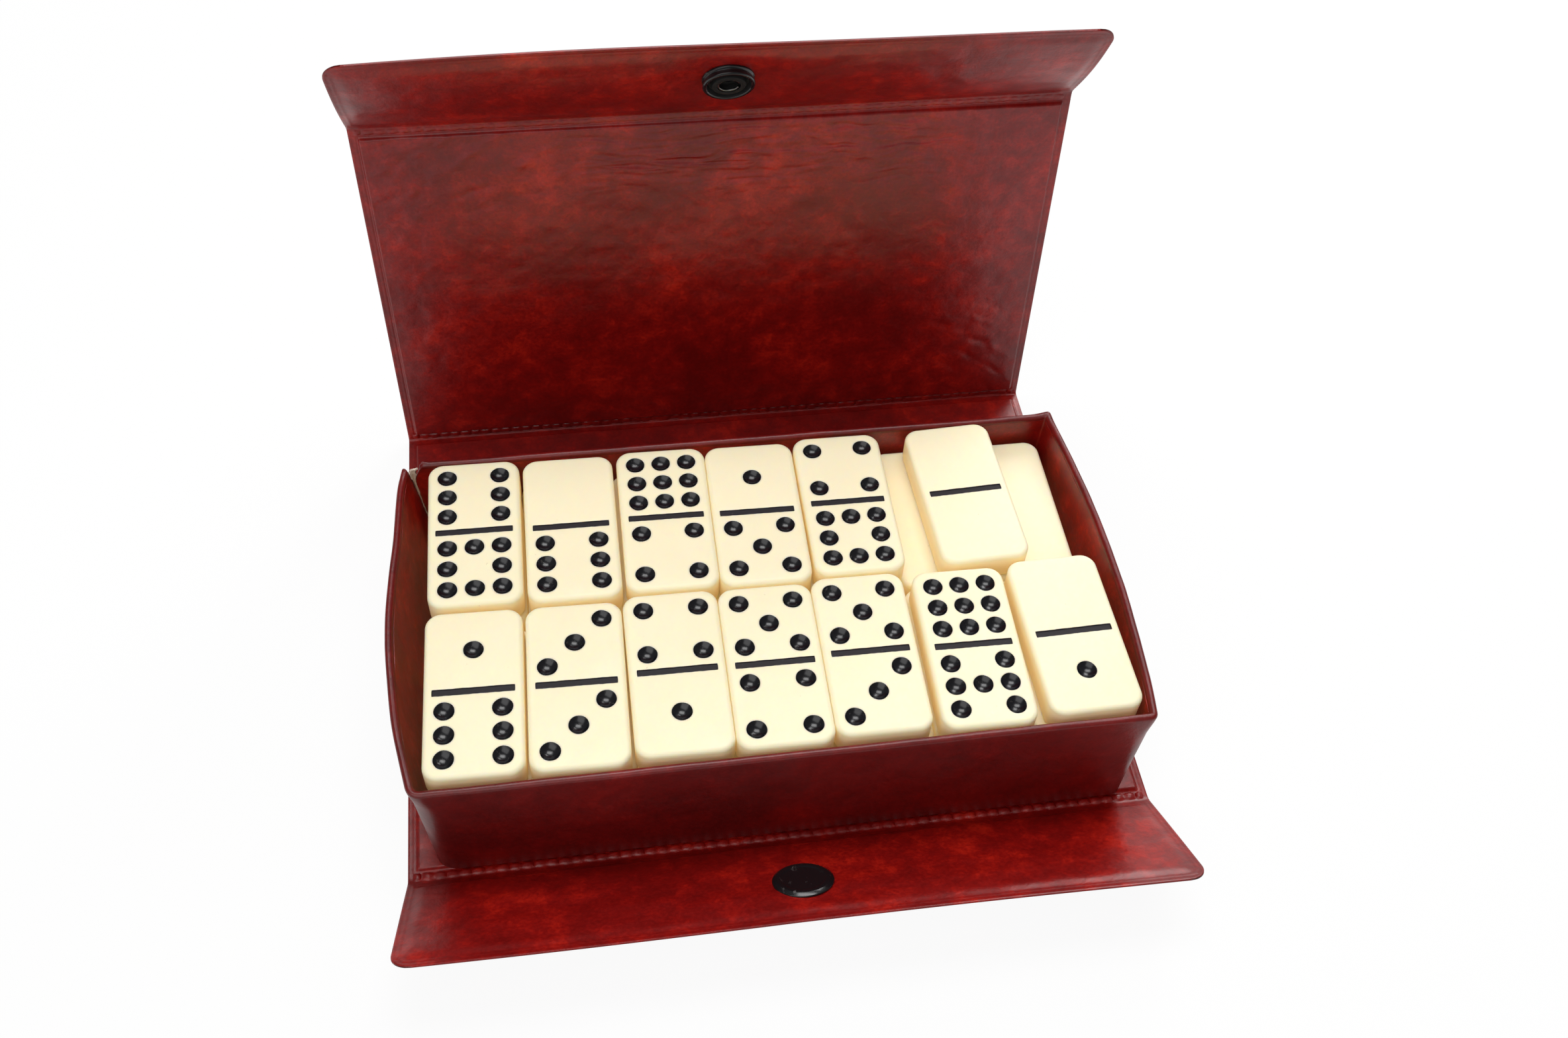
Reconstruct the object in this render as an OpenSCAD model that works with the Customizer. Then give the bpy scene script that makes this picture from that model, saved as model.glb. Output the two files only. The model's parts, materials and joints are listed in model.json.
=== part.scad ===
// Domino case: a folding vinyl cover round an open tray that holds a double-nine set of dominoes.
// The case is shown open. X runs along the tray, Y to the rear, Z up. The origin is on the table, under the
// middle of the tray.

/* [Dominoes] */
// Length of a domino
tile_l = 47; // [39:0.1:57]
// Width of a domino
tile_w = 24; // [20:0.1:29]
// Thickness of a domino
tile_t = 8.5; // [6:0.1:11]
// Gap between neighbouring dominoes in a layer
tile_gap = 0.3; // [0.2:0.05:0.8]
// Radius of a domino's upright corners
tile_corner_r = 4; // [1:0.5:6]
// Width of a pip
pip_d = 5; // [3:0.1:5.5]
// Depth of a pip
pip_depth = 1.3; // [0.6:0.1:1.8]
// Distance between a half's pip columns
pip_column = 6.9; // [6:0.1:8]
// Distance between a half's pip rows
pip_row = 6.55; // [6:0.05:7.5]
// Length of the bar across the middle
bar_l = 19.8; // [14:0.1:22]
// Width of the bar
bar_w = 1.8; // [1:0.1:2.5]
// Depth of the bar
bar_depth = 0.8; // [0.4:0.1:1.5]

/* [Tray] */
// Free length beyond the dominoes, both ends together
tray_slack_x = 2.1; // [1:0.1:8]
// Free depth beyond the dominoes, front and rear together
tray_slack_y = 2.9; // [1:0.1:8]
// How far the dominoes stand above the rim
tile_stand = 0.8; // [0.2:0.1:4]
// Thickness of the greyboard in the walls and the floor
tray_board = 1.2; // [0.8:0.1:2.5]
// How far the front wall's foot stands before its rim
front_lean = 1.7; // [0:0.1:3]
// How far the short walls splay out at the front corners of the rim
splay_front = 2.1; // [0:0.1:4]
// How far the short walls splay out at the rear corners of the rim
splay_rear = 0.7; // [0:0.1:4]
// How far the left wall bows out at the middle of its rim
bow_left = 6.4; // [0:0.1:9]
// How far the right wall bows out at the middle of its rim
bow_right = 3.8; // [0:0.1:9]

/* [Cover] */
// Thickness of the vinyl sheet
vinyl_t = 0.4; // [0.3:0.05:0.8]
// Thickness of the board in the base, the spine and the lid
board_t = 1; // [0.6:0.1:2]
// Thickness of the card in the two flaps
card_t = 0.5; // [0.3:0.1:1]
// How far the cover stands out beyond each end of the tray's foot
cover_margin = 6.9; // [4:0.1:12]
// Width of the weld along the sides and the free edges
edge_weld = 2.4; // [1.5:0.1:5]
// Distance from a hinge line to the board beside it
hinge_weld = 3; // [2:0.1:5]
// Radius of the weld bead along a hinge line
bead_r = 0.45; // [0.4:0.05:0.8]
// Length of the flap on the lid
lid_flap_l = 32; // [27:0.5:34]
// How much wider the lid's flap is at each end of its free edge
lid_flap_flare = 2.4; // [0:0.1:4]
// How much wider the front flap is at each end of its free edge
front_flap_flare = 1.3; // [0:0.1:4]
// Radius of the flaps' free corners
flap_corner_r = 5; // [1:0.5:10]

/* [Resting angles] */
// Lid, from lying flat behind the tray
lid_rest = 85.8; // [60:0.1:90]
// Flap on the lid, from the plane of the lid
lid_flap_rest = 29.8; // [5:0.1:60]
// Front flap, from lying flat on the table
front_flap_rest = 34.6; // [5:0.1:60]

/* [Snap] */
// Width of the caps
cap_d = 15; // [12:0.5:17]
// Thickness of the caps
cap_t = 1; // [0.6:0.1:1.5]
// Width of the socket
socket_d = 13.2; // [11:0.1:14]
// Height of the socket
socket_h = 2.5; // [2.2:0.1:4]
// Width of the stud's base
stud_base_d = 10; // [8:0.5:12]
// Thickness of the stud's base
stud_base_t = 0.5; // [0.4:0.1:1]
// Width of the stud's head
stud_head_d = 5; // [4:0.1:6]
// Distance from the front flap's hinge to the stud
stud_from_hinge = 21.3; // [18:0.1:24]

/* [Clearances] */
// Between the closed lid and the dominoes
lid_gap = 0.4; // [0.2:0.1:2]
// Between the closed spine and the tray
spine_gap = 0.3; // [0.2:0.1:2]
// Between the closed front flap's cap and the tray
cap_gap = 0.35; // [0.2:0.05:2]
// Between the closed front flap's edge and the lid
tuck_gap = 0.4; // [0.2:0.1:2]
// Between the stud's base and the socket's rim
snap_gap = 0.25; // [0.1:0.05:1]
// Between a hinge bead and the sheet that swings on it
bead_gap = 0.3; // [0.2:0.05:0.6]
// Between the boards and the vinyl round them
board_gap = 0.05; // [0.02:0.01:0.2]
// Round the rivet posts of the snap
post_gap = 0.1; // [0.05:0.01:0.3]

/* [Hidden] */
$fn = 64;

VINYL = [0.42, 0.03, 0.05];
LINING = [0.5, 0.05, 0.06];
GREYBOARD = [0.62, 0.57, 0.5];
BLACK = [0.06, 0.06, 0.07];
STEEL = [0.7, 0.7, 0.72];
IVORY = [0.97, 0.93, 0.8];
LEFT = -1;
RIGHT = 1;

columns = 7;
rows = 2;
layers = 4;
pitch_x = tile_w + tile_gap;
pitch_y = tile_l + tile_gap;

// Heights of the panels round their hinge line. A panel's outer face lies bead_r below the line.
outer_z = -bead_r;
core_z = outer_z + vinyl_t;
panel_in = core_z + board_t + vinyl_t;
flap_in = core_z + card_t + vinyl_t;
weld_in = core_z + vinyl_t;
axis_z = bead_r;

// Heights in the tray, from the table
tray_z = axis_z + panel_in;
floor_z = tray_z + tray_board + board_gap + vinyl_t;
tile_top_z = floor_z + layers * tile_t;
rim_z = tile_top_z - tile_stand;
wall_h = rim_z - tray_z;

// The tray in plan
wall_t = 2 * vinyl_t + tray_board;
tray_in_x = columns * pitch_x - tile_gap + tray_slack_x;
tray_in_y = rows * pitch_y - tile_gap + tray_slack_y;
foot_x = tray_in_x / 2 + wall_t;
rim_y = tray_in_y / 2 + wall_t;

// The closed case fixes the hinge lines: the front flap leans in by this angle over the tray's front wall
closed_lean = 2;
rear_hinge_y = rim_y + spine_gap + panel_in;
spine_l = tile_top_z + lid_gap + panel_in - axis_z;
stud_h = stud_from_hinge * cos(closed_lean);
wall_y_at_stud = -rim_y - front_lean * (1 - (stud_h + axis_z - tray_z) / wall_h);
front_hinge_y = wall_y_at_stud - cap_gap - flap_in - cap_t - stud_from_hinge * sin(closed_lean);
snap_depth = flap_in - outer_z + stud_base_t + snap_gap + socket_h;
lid_edge_y = front_hinge_y - (snap_depth - spine_l * sin(closed_lean)) / cos(closed_lean);
lid_l = rear_hinge_y - lid_edge_y;
socket_from_hinge = spine_l * cos(closed_lean) + (lid_edge_y - front_hinge_y) * sin(closed_lean)
    - stud_from_hinge;
front_flap_l = (spine_l - panel_in - tuck_gap) / cos(closed_lean);
cover_x = foot_x + cover_margin;

// The snap's inside
post_r = 1.4;
stud_post_h = 2.15;
stud_neck_h = 1.25;
stud_neck_r = stud_head_d / 2 - 0.4;
socket_floor_t = 0.4;
socket_mouth_r = stud_head_d / 2 + 0.4;
spring_wire_r = 0.3;
spring_r = stud_neck_r + 0.3 + spring_wire_r;
spring_z = socket_h + snap_gap - stud_neck_h + spring_wire_r + 0.05;
groove_r = spring_r + spring_wire_r + 0.6;
groove_z = spring_z - spring_wire_r - 0.1;
groove_h = 2 * spring_wire_r + 0.2;

// Dominoes of the top layer: name, column, row, shift in X, shift in Y, how far the rear end stands to the
// left of the middle, upper pips, lower pips
TOP_TILES = [
    ["tile_1_6", 0, 0, -1.4, -0.12, -0.56, 1, 6],
    ["tile_3_3", 1, 0, -1.05, -0.82, -0.54, 3, 3],
    ["tile_4_1", 2, 0, -0.8, -0.06, -0.24, 4, 1],
    ["tile_5_4", 3, 0, -1.03, -0.64, -0.24, 5, 4],
    ["tile_5_3", 4, 0, -1.27, 0.05, -0.24, 5, 3],
    ["tile_9_7", 5, 0, 0.52, -1.03, -0.41, 9, 7],
    ["tile_0_1", 6, 0, 2.53, 0.05, 0.43, 0, 1],
    ["tile_6_8", 0, 1, -0.05, 1.2, -0.32, 6, 8],
    ["tile_0_6", 1, 1, 0.58, 0.22, -0.28, 0, 6],
    ["tile_9_4", 2, 1, 1.26, 0.52, -0.39, 9, 4],
    ["tile_1_5", 3, 1, 1.02, -0.28, -0.39, 1, 5],
    ["tile_4_8", 4, 1, 1.32, 0.42, -0.23, 4, 8],
    ["tile_0_0", 5, 1, 9.5, 0.7, 0.94, 0, 0]
];

// Where the pips of each number stand, in columns and rows from the middle of a half
CORNERS = [[-1, 1], [1, 1], [-1, -1], [1, -1]];
SIDES = [[-1, 0], [1, 0]];
ENDS = [[0, 1], [0, -1]];
MIDDLE = [[0, 0]];
PIPS = [
    [],
    MIDDLE,
    [[1, 1], [-1, -1]],
    [[1, 1], [0, 0], [-1, -1]],
    CORNERS,
    concat(CORNERS, MIDDLE),
    concat(CORNERS, SIDES),
    concat(CORNERS, SIDES, MIDDLE),
    concat(CORNERS, SIDES, ENDS),
    concat(CORNERS, SIDES, ENDS, MIDDLE)
];

echo(spine_l = spine_l, lid_l = lid_l, front_flap_l = front_flap_l, socket_from_hinge = socket_from_hinge);
echo(rear_hinge_y = rear_hinge_y, front_hinge_y = front_hinge_y, cover_x = cover_x);
echo(tile_top_z = tile_top_z, rim_z = rim_z, rim_y = rim_y, foot_x = foot_x);
echo(stud_flat = asin((outer_z + stud_base_t + stud_post_h + bead_r) / (stud_from_hinge - stud_head_d / 2)));
echo(socket_flat = asin(cap_t / (socket_from_hinge - cap_d / 2)));

// Placing: each cover panel is drawn lying flat, from its hinge line towards +Y, with its inside up

module at_base() {
    translate([0, 0, axis_z]) children();
}

module at_spine() {
    translate([0, rear_hinge_y, axis_z]) children();
}

module at_lid() {
    translate([0, rear_hinge_y + spine_l, axis_z]) rotate([lid_rest, 0, 0]) children();
}

module at_lid_flap() {
    at_lid() translate([0, lid_l, 0]) rotate([lid_flap_rest, 0, 0]) children();
}

module at_front_flap() {
    translate([0, front_hinge_y, axis_z]) rotate([0, 0, 180]) rotate([front_flap_rest, 0, 0]) children();
}

// Outline of a panel that starts half_a wide at near and ends half_b wide at far, where its corners are round
function panel_outline(near, far, half_a, half_b, r) = concat(
    [[-half_a, near], [half_a, near]],
    r == 0 ? [[half_b, far], [-half_b, far]] : concat(
        [for (a = [0:15:90]) [half_b - r + r * cos(a), far - r + r * sin(a)]],
        [for (a = [90:15:180]) [r - half_b + r * cos(a), far - r + r * sin(a)]]
    )
);

module sheet(z, t, near, far, half_a, half_b, r) {
    translate([0, 0, z]) linear_extrude(t) polygon(panel_outline(near, far, half_a, half_b, r));
}

// Weld bead along a hinge line
module bead(y) {
    translate([0, y, 0]) rotate([0, 90, 0]) cylinder(r = bead_r, h = 2 * cover_x, center = true);
}

// Outer sheet of vinyl, flat
module outer_skin(near, far, half_b = cover_x, r = 0) {
    color(VINYL) sheet(outer_z, vinyl_t, near, far, cover_x, half_b, r);
}

// Board or card between the sheets. far_weld is the weld's width at the far edge.
module stiffener(t, near, far, far_weld, half_b = cover_x, r = 0) {
    color(GREYBOARD) sheet(core_z + board_gap / 2, t - board_gap, near + hinge_weld, far - far_weld,
        cover_x - edge_weld, half_b - edge_weld, max(r - edge_weld, 0));
}

// Inner sheet of vinyl, drawn over the stiffener and pressed down to the weld round it
module lining_sheet(t, near, far, far_weld, half_b = cover_x, r = 0, near_weld = hinge_weld) {
    color(LINING) difference() {
        union() {
            sheet(core_z, vinyl_t, near, far, cover_x, half_b, r);
            sheet(core_z, t + vinyl_t, near + near_weld - vinyl_t, far - far_weld + vinyl_t,
                cover_x - edge_weld + vinyl_t, half_b - edge_weld + vinyl_t, max(r - edge_weld + vinyl_t, 0));
        }
        sheet(core_z - 1, t + 1, near + near_weld, far - far_weld,
            cover_x - edge_weld, half_b - edge_weld, max(r - edge_weld, 0));
    }
}

swing = bead_r + bead_gap;

// Base, under the tray, between the front and the rear hinge lines
module base_outer_skin() {
    at_base() {
        outer_skin(front_hinge_y, rear_hinge_y);
        color(VINYL) bead(front_hinge_y);
        color(VINYL) bead(rear_hinge_y);
    }
}

module base_board() {
    at_base() stiffener(board_t, front_hinge_y, rear_hinge_y, hinge_weld);
}

// The sheet stops at the beads, which fill the hinge lines
module base_lining() {
    at_base() lining_sheet(board_t, front_hinge_y + bead_r, rear_hinge_y - bead_r, hinge_weld - bead_r,
        near_weld = hinge_weld - bead_r);
}

// Spine, which lies flat behind the tray when the case is open
module spine_outer_skin() {
    at_spine() {
        outer_skin(swing, spine_l);
        color(VINYL) bead(spine_l);
    }
}

module spine_board() {
    at_spine() stiffener(board_t, swing, spine_l, hinge_weld);
}

module spine_lining() {
    at_spine() lining_sheet(board_t, swing, spine_l - bead_r, hinge_weld - bead_r);
}

module lid_outer_skin() {
    at_lid() {
        outer_skin(swing, lid_l);
        color(VINYL) bead(lid_l);
    }
}

module lid_board() {
    at_lid() stiffener(board_t, swing, lid_l, hinge_weld);
}

module lid_lining() {
    at_lid() lining_sheet(board_t, swing, lid_l - bead_r, hinge_weld - bead_r);
}

// Hole through a flap for the rivet post of its snap
module post_hole(y) {
    translate([0, y, outer_z - 1]) cylinder(r = post_r + post_gap, h = flap_in - outer_z + 2);
}

module lid_flap_outer_skin() {
    at_lid_flap() difference() {
        outer_skin(swing, lid_flap_l, cover_x + lid_flap_flare, flap_corner_r);
        post_hole(socket_from_hinge);
    }
}

module lid_flap_card() {
    at_lid_flap() difference() {
        stiffener(card_t, swing, lid_flap_l, edge_weld, cover_x + lid_flap_flare, flap_corner_r);
        post_hole(socket_from_hinge);
    }
}

module lid_flap_lining() {
    at_lid_flap() difference() {
        lining_sheet(card_t, swing, lid_flap_l, edge_weld, cover_x + lid_flap_flare, flap_corner_r);
        post_hole(socket_from_hinge);
    }
}

module front_flap_outer_skin() {
    at_front_flap() difference() {
        outer_skin(swing, front_flap_l, cover_x + front_flap_flare, flap_corner_r);
        post_hole(stud_from_hinge);
    }
}

module front_flap_card() {
    at_front_flap() difference() {
        stiffener(card_t, swing, front_flap_l, edge_weld, cover_x + front_flap_flare, flap_corner_r);
        post_hole(stud_from_hinge);
    }
}

module front_flap_lining() {
    at_front_flap() difference() {
        lining_sheet(card_t, swing, front_flap_l, edge_weld, cover_x + front_flap_flare, flap_corner_r);
        post_hole(stud_from_hinge);
    }
}

// The tray. Depth counts from the outer face of its walls inwards, and height from the base up. The short
// walls bow out towards the rim, and every layer of them has the same facets, so the layers lie face to face.

function bow(side) = side == LEFT ? bow_left : bow_right;

function splay(y) = splay_front + (splay_rear - splay_front) * (y / rim_y + 1) / 2;

function short_x(side, y, height) =
    foot_x + height / wall_h * (splay(y) + bow(side) * (1 - pow(y / rim_y, 2)));

function reverse(v) = [for (i = [len(v) - 1:-1:0]) v[i]];

bow_steps = 12;
bow_spare = 2;
STATIONS = [for (i = [-1:bow_steps + 1]) (2 * i / bow_steps - 1) * rim_y];

// A line round the short walls, up one side and back down the other
function bowed_line(depth, height) = concat(
    [for (y = STATIONS) [short_x(RIGHT, y, height) - depth, y, tray_z + height]],
    [for (y = reverse(STATIONS)) [depth - short_x(LEFT, y, height), y, tray_z + height]]
);

// All that lies between the short walls at one depth. It runs on past the long walls, the foot and the rim.
module between_short_walls(depth) {
    n = 2 * len(STATIONS);
    polyhedron(
        concat(bowed_line(depth, -bow_spare), bowed_line(depth, wall_h + bow_spare)),
        concat(
            [[for (i = [0:n - 1]) i], [for (i = [n - 1:-1:0]) n + i]],
            [for (i = [0:n - 1]) let (k = (i + 1) % n) for (f = [[i, n + i, n + k], [i, n + k, k]]) f]
        )
    );
}

// Where the long walls stand, at the foot and at the rim
function front_line(depth) = [depth - rim_y - front_lean, depth - rim_y];

function rear_line(depth) = [rim_y - depth, rim_y - depth];

// All that lies between two such lines and two heights, over the whole length or from the middle to one side
module between_long_walls(near, far, low, high, side = 0) {
    reach = 2 * cover_x;
    profile = [for (e = [[near, low], [far, low], [far, high], [near, high]])
        [e[0][0] + (e[0][1] - e[0][0]) * e[1] / wall_h, e[1]]];
    translate([side * reach, 0, tray_z]) rotate([90, 0, 90])
        linear_extrude(2 * reach, center = true) polygon(profile);
}

// All that lies inside the walls at one depth, between two heights
module tray_block(depth, low, high) {
    intersection() {
        between_short_walls(depth);
        between_long_walls(front_line(depth), rear_line(depth), low, high);
    }
}

board_in = vinyl_t + board_gap;
board_out = vinyl_t + tray_board - board_gap;
board_h = wall_h - vinyl_t - board_gap;

// One sheet round the outside of the walls and over the rim
module tray_outer_skin() {
    color(VINYL) difference() {
        tray_block(0, 0, wall_h);
        tray_block(vinyl_t, -1, wall_h - vinyl_t);
        tray_block(wall_t, wall_h - 1, wall_h + 1);
    }
}

// One sheet down the inside of the walls and over the floor
module tray_lining() {
    color(LINING) difference() {
        tray_block(vinyl_t + tray_board, floor_z - vinyl_t - tray_z, wall_h - vinyl_t);
        tray_block(wall_t, floor_z - tray_z, wall_h);
    }
}

module tray_floor_board() {
    color(GREYBOARD) tray_block(board_out + 2 * board_gap, 0, tray_board);
}

// The long boards run from end to end, with the short ones between them

module tray_front_board() {
    color(GREYBOARD) intersection() {
        between_short_walls(board_in);
        between_long_walls(front_line(board_in), front_line(board_out), 0, board_h);
    }
}

module tray_rear_board() {
    color(GREYBOARD) intersection() {
        between_short_walls(board_in);
        between_long_walls(rear_line(board_out), rear_line(board_in), 0, board_h);
    }
}

module short_board(side) {
    end = board_out + board_gap;
    color(GREYBOARD) difference() {
        intersection() {
            between_short_walls(board_in);
            between_long_walls(front_line(end), rear_line(end), 0, board_h, side);
        }
        between_short_walls(board_out);
    }
}

module tray_left_board() {
    short_board(LEFT);
}

module tray_right_board() {
    short_board(RIGHT);
}

// The snap. Its stud is on the outside of the front flap, under a cap on the inside. Its socket is on the
// inside of the lid's flap, under a cap on the outside. Each cap's post is riveted through the flap.

module cap(post_h) {
    r = cap_d / 2;
    rotate_extrude() polygon([
        [0, -post_h], [post_r, -post_h], [post_r, 0], [r, 0], [r, 0.35 * cap_t], [r - 1.1, cap_t],
        [r - 2, cap_t], [r - 2.5, 0.8 * cap_t], [0, 0.8 * cap_t]
    ]);
}

module stud_cap() {
    color(BLACK) at_front_flap() translate([0, stud_from_hinge, flap_in])
        cap(flap_in - outer_z + stud_base_t + stud_neck_h / 2);
}

module snap_stud() {
    neck_z = stud_base_t + stud_neck_h;
    head_z = stud_base_t + stud_post_h;
    head_r = stud_head_d / 2;
    bore_r = post_r + post_gap;
    color(BLACK) at_front_flap() translate([0, stud_from_hinge, outer_z]) mirror([0, 0, 1])
        rotate_extrude() polygon([
            [bore_r, 0], [stud_base_d / 2, 0], [stud_base_d / 2, stud_base_t * 0.6],
            [stud_base_d / 2 - 0.4, stud_base_t], [stud_neck_r, stud_base_t], [stud_neck_r, neck_z - 0.3],
            [head_r, neck_z + 0.05], [head_r, head_z - 0.35], [head_r - 0.5, head_z],
            [0, head_z], [0, neck_z + 0.1], [bore_r, neck_z + 0.1]
        ]);
}

module socket_cap() {
    color(BLACK) at_lid_flap() translate([0, socket_from_hinge, outer_z]) mirror([0, 0, 1])
        cap(flap_in - outer_z + socket_floor_t);
}

module snap_socket() {
    r = socket_d / 2;
    waist_r = r - 0.5;
    bore_r = post_r + post_gap;
    color(BLACK) at_lid_flap() translate([0, socket_from_hinge, flap_in])
        rotate_extrude() polygon([
            [bore_r, 0], [r, 0], [r, 0.5], [waist_r, 0.8], [waist_r, socket_h - 1],
            [r, socket_h - 0.7], [r, socket_h - 0.3], [r - 0.4, socket_h], [socket_mouth_r + 0.3, socket_h],
            [socket_mouth_r, socket_h - 0.1], [socket_mouth_r, groove_z + groove_h],
            [groove_r, groove_z + groove_h], [groove_r, groove_z], [socket_mouth_r, groove_z],
            [socket_mouth_r, socket_floor_t], [bore_r, socket_floor_t]
        ]);
}

// Split ring of wire that closes behind the stud's head
module socket_spring() {
    color(STEEL) at_lid_flap() translate([0, socket_from_hinge, flap_in + spring_z])
        rotate([0, 0, 20]) rotate_extrude(angle = 320) translate([spring_r, 0]) circle(r = spring_wire_r);
}

// A domino's blank, lying flat with its long side along Y
module tile_blank() {
    linear_extrude(tile_t) {
        square([tile_w - 2 * tile_corner_r, tile_l], center = true);
        square([tile_w, tile_l - 2 * tile_corner_r], center = true);
        for (x = [-1, 1], y = [-1, 1])
            translate([x * (tile_w / 2 - tile_corner_r), y * (tile_l / 2 - tile_corner_r)])
                circle(r = tile_corner_r);
    }
}

// One pip's hollow: a ball that meets the face in a circle of the pip's width
module pip_cut() {
    ball_r = (pip_d * pip_d / 4 + pip_depth * pip_depth) / (2 * pip_depth);
    translate([0, 0, ball_r - pip_depth]) sphere(r = ball_r);
}

function tile_x(column) = (column - (columns - 1) / 2) * pitch_x;

function tile_y(row) = (row - (rows - 1) / 2) * pitch_y;

module tile_layer(number) {
    color(IVORY) for (column = [0:columns - 1], row = [0:rows - 1])
        translate([tile_x(column), tile_y(row), floor_z + (number - 1) * tile_t]) tile_blank();
}

module top_tile(t) {
    color(IVORY) translate([tile_x(t[1]) + t[3], tile_y(t[2]) + t[4], floor_z + (layers - 1) * tile_t])
        rotate([0, 0, asin(2 * t[5] / tile_l)]) difference() {
            tile_blank();
            translate([-bar_l / 2, -bar_w / 2, tile_t - bar_depth]) cube([bar_l, bar_w, tile_t]);
            for (half = [-1, 1], p = PIPS[half == 1 ? t[6] : t[7]])
                translate([p[0] * pip_column, half * tile_l / 4 + p[1] * pip_row, tile_t]) pip_cut();
        }
}

base_outer_skin();
base_board();
base_lining();
spine_outer_skin();
spine_board();
spine_lining();
lid_outer_skin();
lid_board();
lid_lining();
lid_flap_outer_skin();
lid_flap_card();
lid_flap_lining();
front_flap_outer_skin();
front_flap_card();
front_flap_lining();
tray_outer_skin();
tray_lining();
tray_floor_board();
tray_front_board();
tray_rear_board();
tray_left_board();
tray_right_board();
stud_cap();
snap_stud();
socket_cap();
snap_socket();
socket_spring();
tile_layer(1);  // tile_layer_1
tile_layer(2);  // tile_layer_2
tile_layer(3);  // tile_layer_3
for (t = TOP_TILES)
    top_tile(t);
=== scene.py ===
# %% [markdown]
# # A folding case for dominoes
# The case is a flat vinyl cover, stiffened with boards, that folds round a tray of dominoes. It was
# made in two steps. The CAD model gives the frame: every piece, its size and its hinges. This script
# dresses that frame. It keeps the board under the tray's floor, and puts pressed vinyl sheets, bent
# boards, polished dominoes and a press stud in place of the other plain solids. All lengths are worked
# out in millimetres and turned into metres when a mesh is made.

# %% Load the frame
import json
import math

import bpy
import numpy as np
from mathutils import Matrix, Vector
from mathutils.geometry import delaunay_2d_cdt

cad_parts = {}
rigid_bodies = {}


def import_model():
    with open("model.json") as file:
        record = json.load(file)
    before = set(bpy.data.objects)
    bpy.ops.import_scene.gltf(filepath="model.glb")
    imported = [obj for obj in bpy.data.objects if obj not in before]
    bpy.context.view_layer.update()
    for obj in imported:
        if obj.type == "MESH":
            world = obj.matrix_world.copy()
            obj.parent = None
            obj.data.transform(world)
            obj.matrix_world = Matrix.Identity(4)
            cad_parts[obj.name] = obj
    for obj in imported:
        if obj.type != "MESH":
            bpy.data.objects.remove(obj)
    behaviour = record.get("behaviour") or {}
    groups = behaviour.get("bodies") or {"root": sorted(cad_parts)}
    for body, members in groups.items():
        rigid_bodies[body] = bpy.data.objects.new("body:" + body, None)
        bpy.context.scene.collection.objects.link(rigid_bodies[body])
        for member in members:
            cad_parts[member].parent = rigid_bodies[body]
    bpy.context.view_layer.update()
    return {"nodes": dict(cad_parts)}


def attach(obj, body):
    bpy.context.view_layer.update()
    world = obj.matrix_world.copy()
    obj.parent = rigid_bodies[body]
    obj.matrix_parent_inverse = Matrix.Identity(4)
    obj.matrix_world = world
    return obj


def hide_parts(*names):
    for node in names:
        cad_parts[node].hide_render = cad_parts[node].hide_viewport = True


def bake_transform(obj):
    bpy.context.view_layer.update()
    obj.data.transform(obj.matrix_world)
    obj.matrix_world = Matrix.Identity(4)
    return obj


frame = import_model()

# %% [markdown]
# ## The camera
# The photograph was taken from in front and well above, turned a little to the left. The place and the
# three axes of the camera were solved from the pips, whose layout is regular, and from the corners of
# the cover. A camera object can be turned by angles or by a matrix. The matrix is used, because the
# three axes are its columns.

# %% Camera
MM = 0.001
CAMERA_AT = Vector((-44.231, -224.616, 353.778)) * MM
CAMERA_AXES = [
    Vector((0.987933, -0.147078, 0.048552)),
    Vector((0.085953, 0.781393, 0.618091)),
    Vector((-0.128846, -0.606459, 0.784606)),
]

camera_data = bpy.data.cameras.new("camera")
camera_data.sensor_width = 36
camera_data.lens = 35
camera_data.clip_start = 0.01
camera = bpy.data.objects.new("camera", camera_data)
bpy.context.scene.collection.objects.link(camera)
turn = Matrix(CAMERA_AXES).transposed().to_4x4()
camera.matrix_world = Matrix.Translation(CAMERA_AT) @ turn
bpy.context.scene.camera = camera
bpy.context.scene.view_settings.view_transform = "Standard"
print("camera", [round(v, 3) for v in camera.location], "lens", camera_data.lens)

# %% [markdown]
# ## Writing a finish as arithmetic
# A procedural finish is a graph of nodes. Wired one by one, the graph hides what it works out. Here a
# small class wraps a socket, so that a mask can be written as an expression, and each operator adds its
# own Math node. A second class makes any other node from its type, its settings and what goes into its
# sockets.

# %% A socket that can stand in an expression
class Wire:
    def __init__(self, look, socket):
        self.look, self.socket = look, socket

    def maths(self, operation, *others):
        inputs = dict(enumerate((self, *others)))
        return self.look.add("ShaderNodeMath", {"operation": operation}, inputs)[0]

    def __add__(self, other):
        return self.maths("ADD", other)

    __radd__ = __add__

    def __mul__(self, other):
        return self.maths("MULTIPLY", other)

    __rmul__ = __mul__

    def __sub__(self, other):
        return self.maths("SUBTRACT", other)

    def __rsub__(self, other):
        return self.look.add("ShaderNodeMath", {"operation": "SUBTRACT"}, {0: other, 1: self})[0]

    def step(self, low, high):
        """0 below low, 1 above high, and a smooth rise between them."""
        settings = {"interpolation_type": "SMOOTHSTEP"}
        sockets = {"Value": self, "From Min": low, "From Max": high}
        return self.look.add("ShaderNodeMapRange", settings, sockets)["Result"]

# %% A node, whose outputs are wires
class Node:
    def __init__(self, look, node):
        self.look, self.node = look, node

    def __getitem__(self, key):
        return Wire(self.look, self.node.outputs[key])

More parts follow.
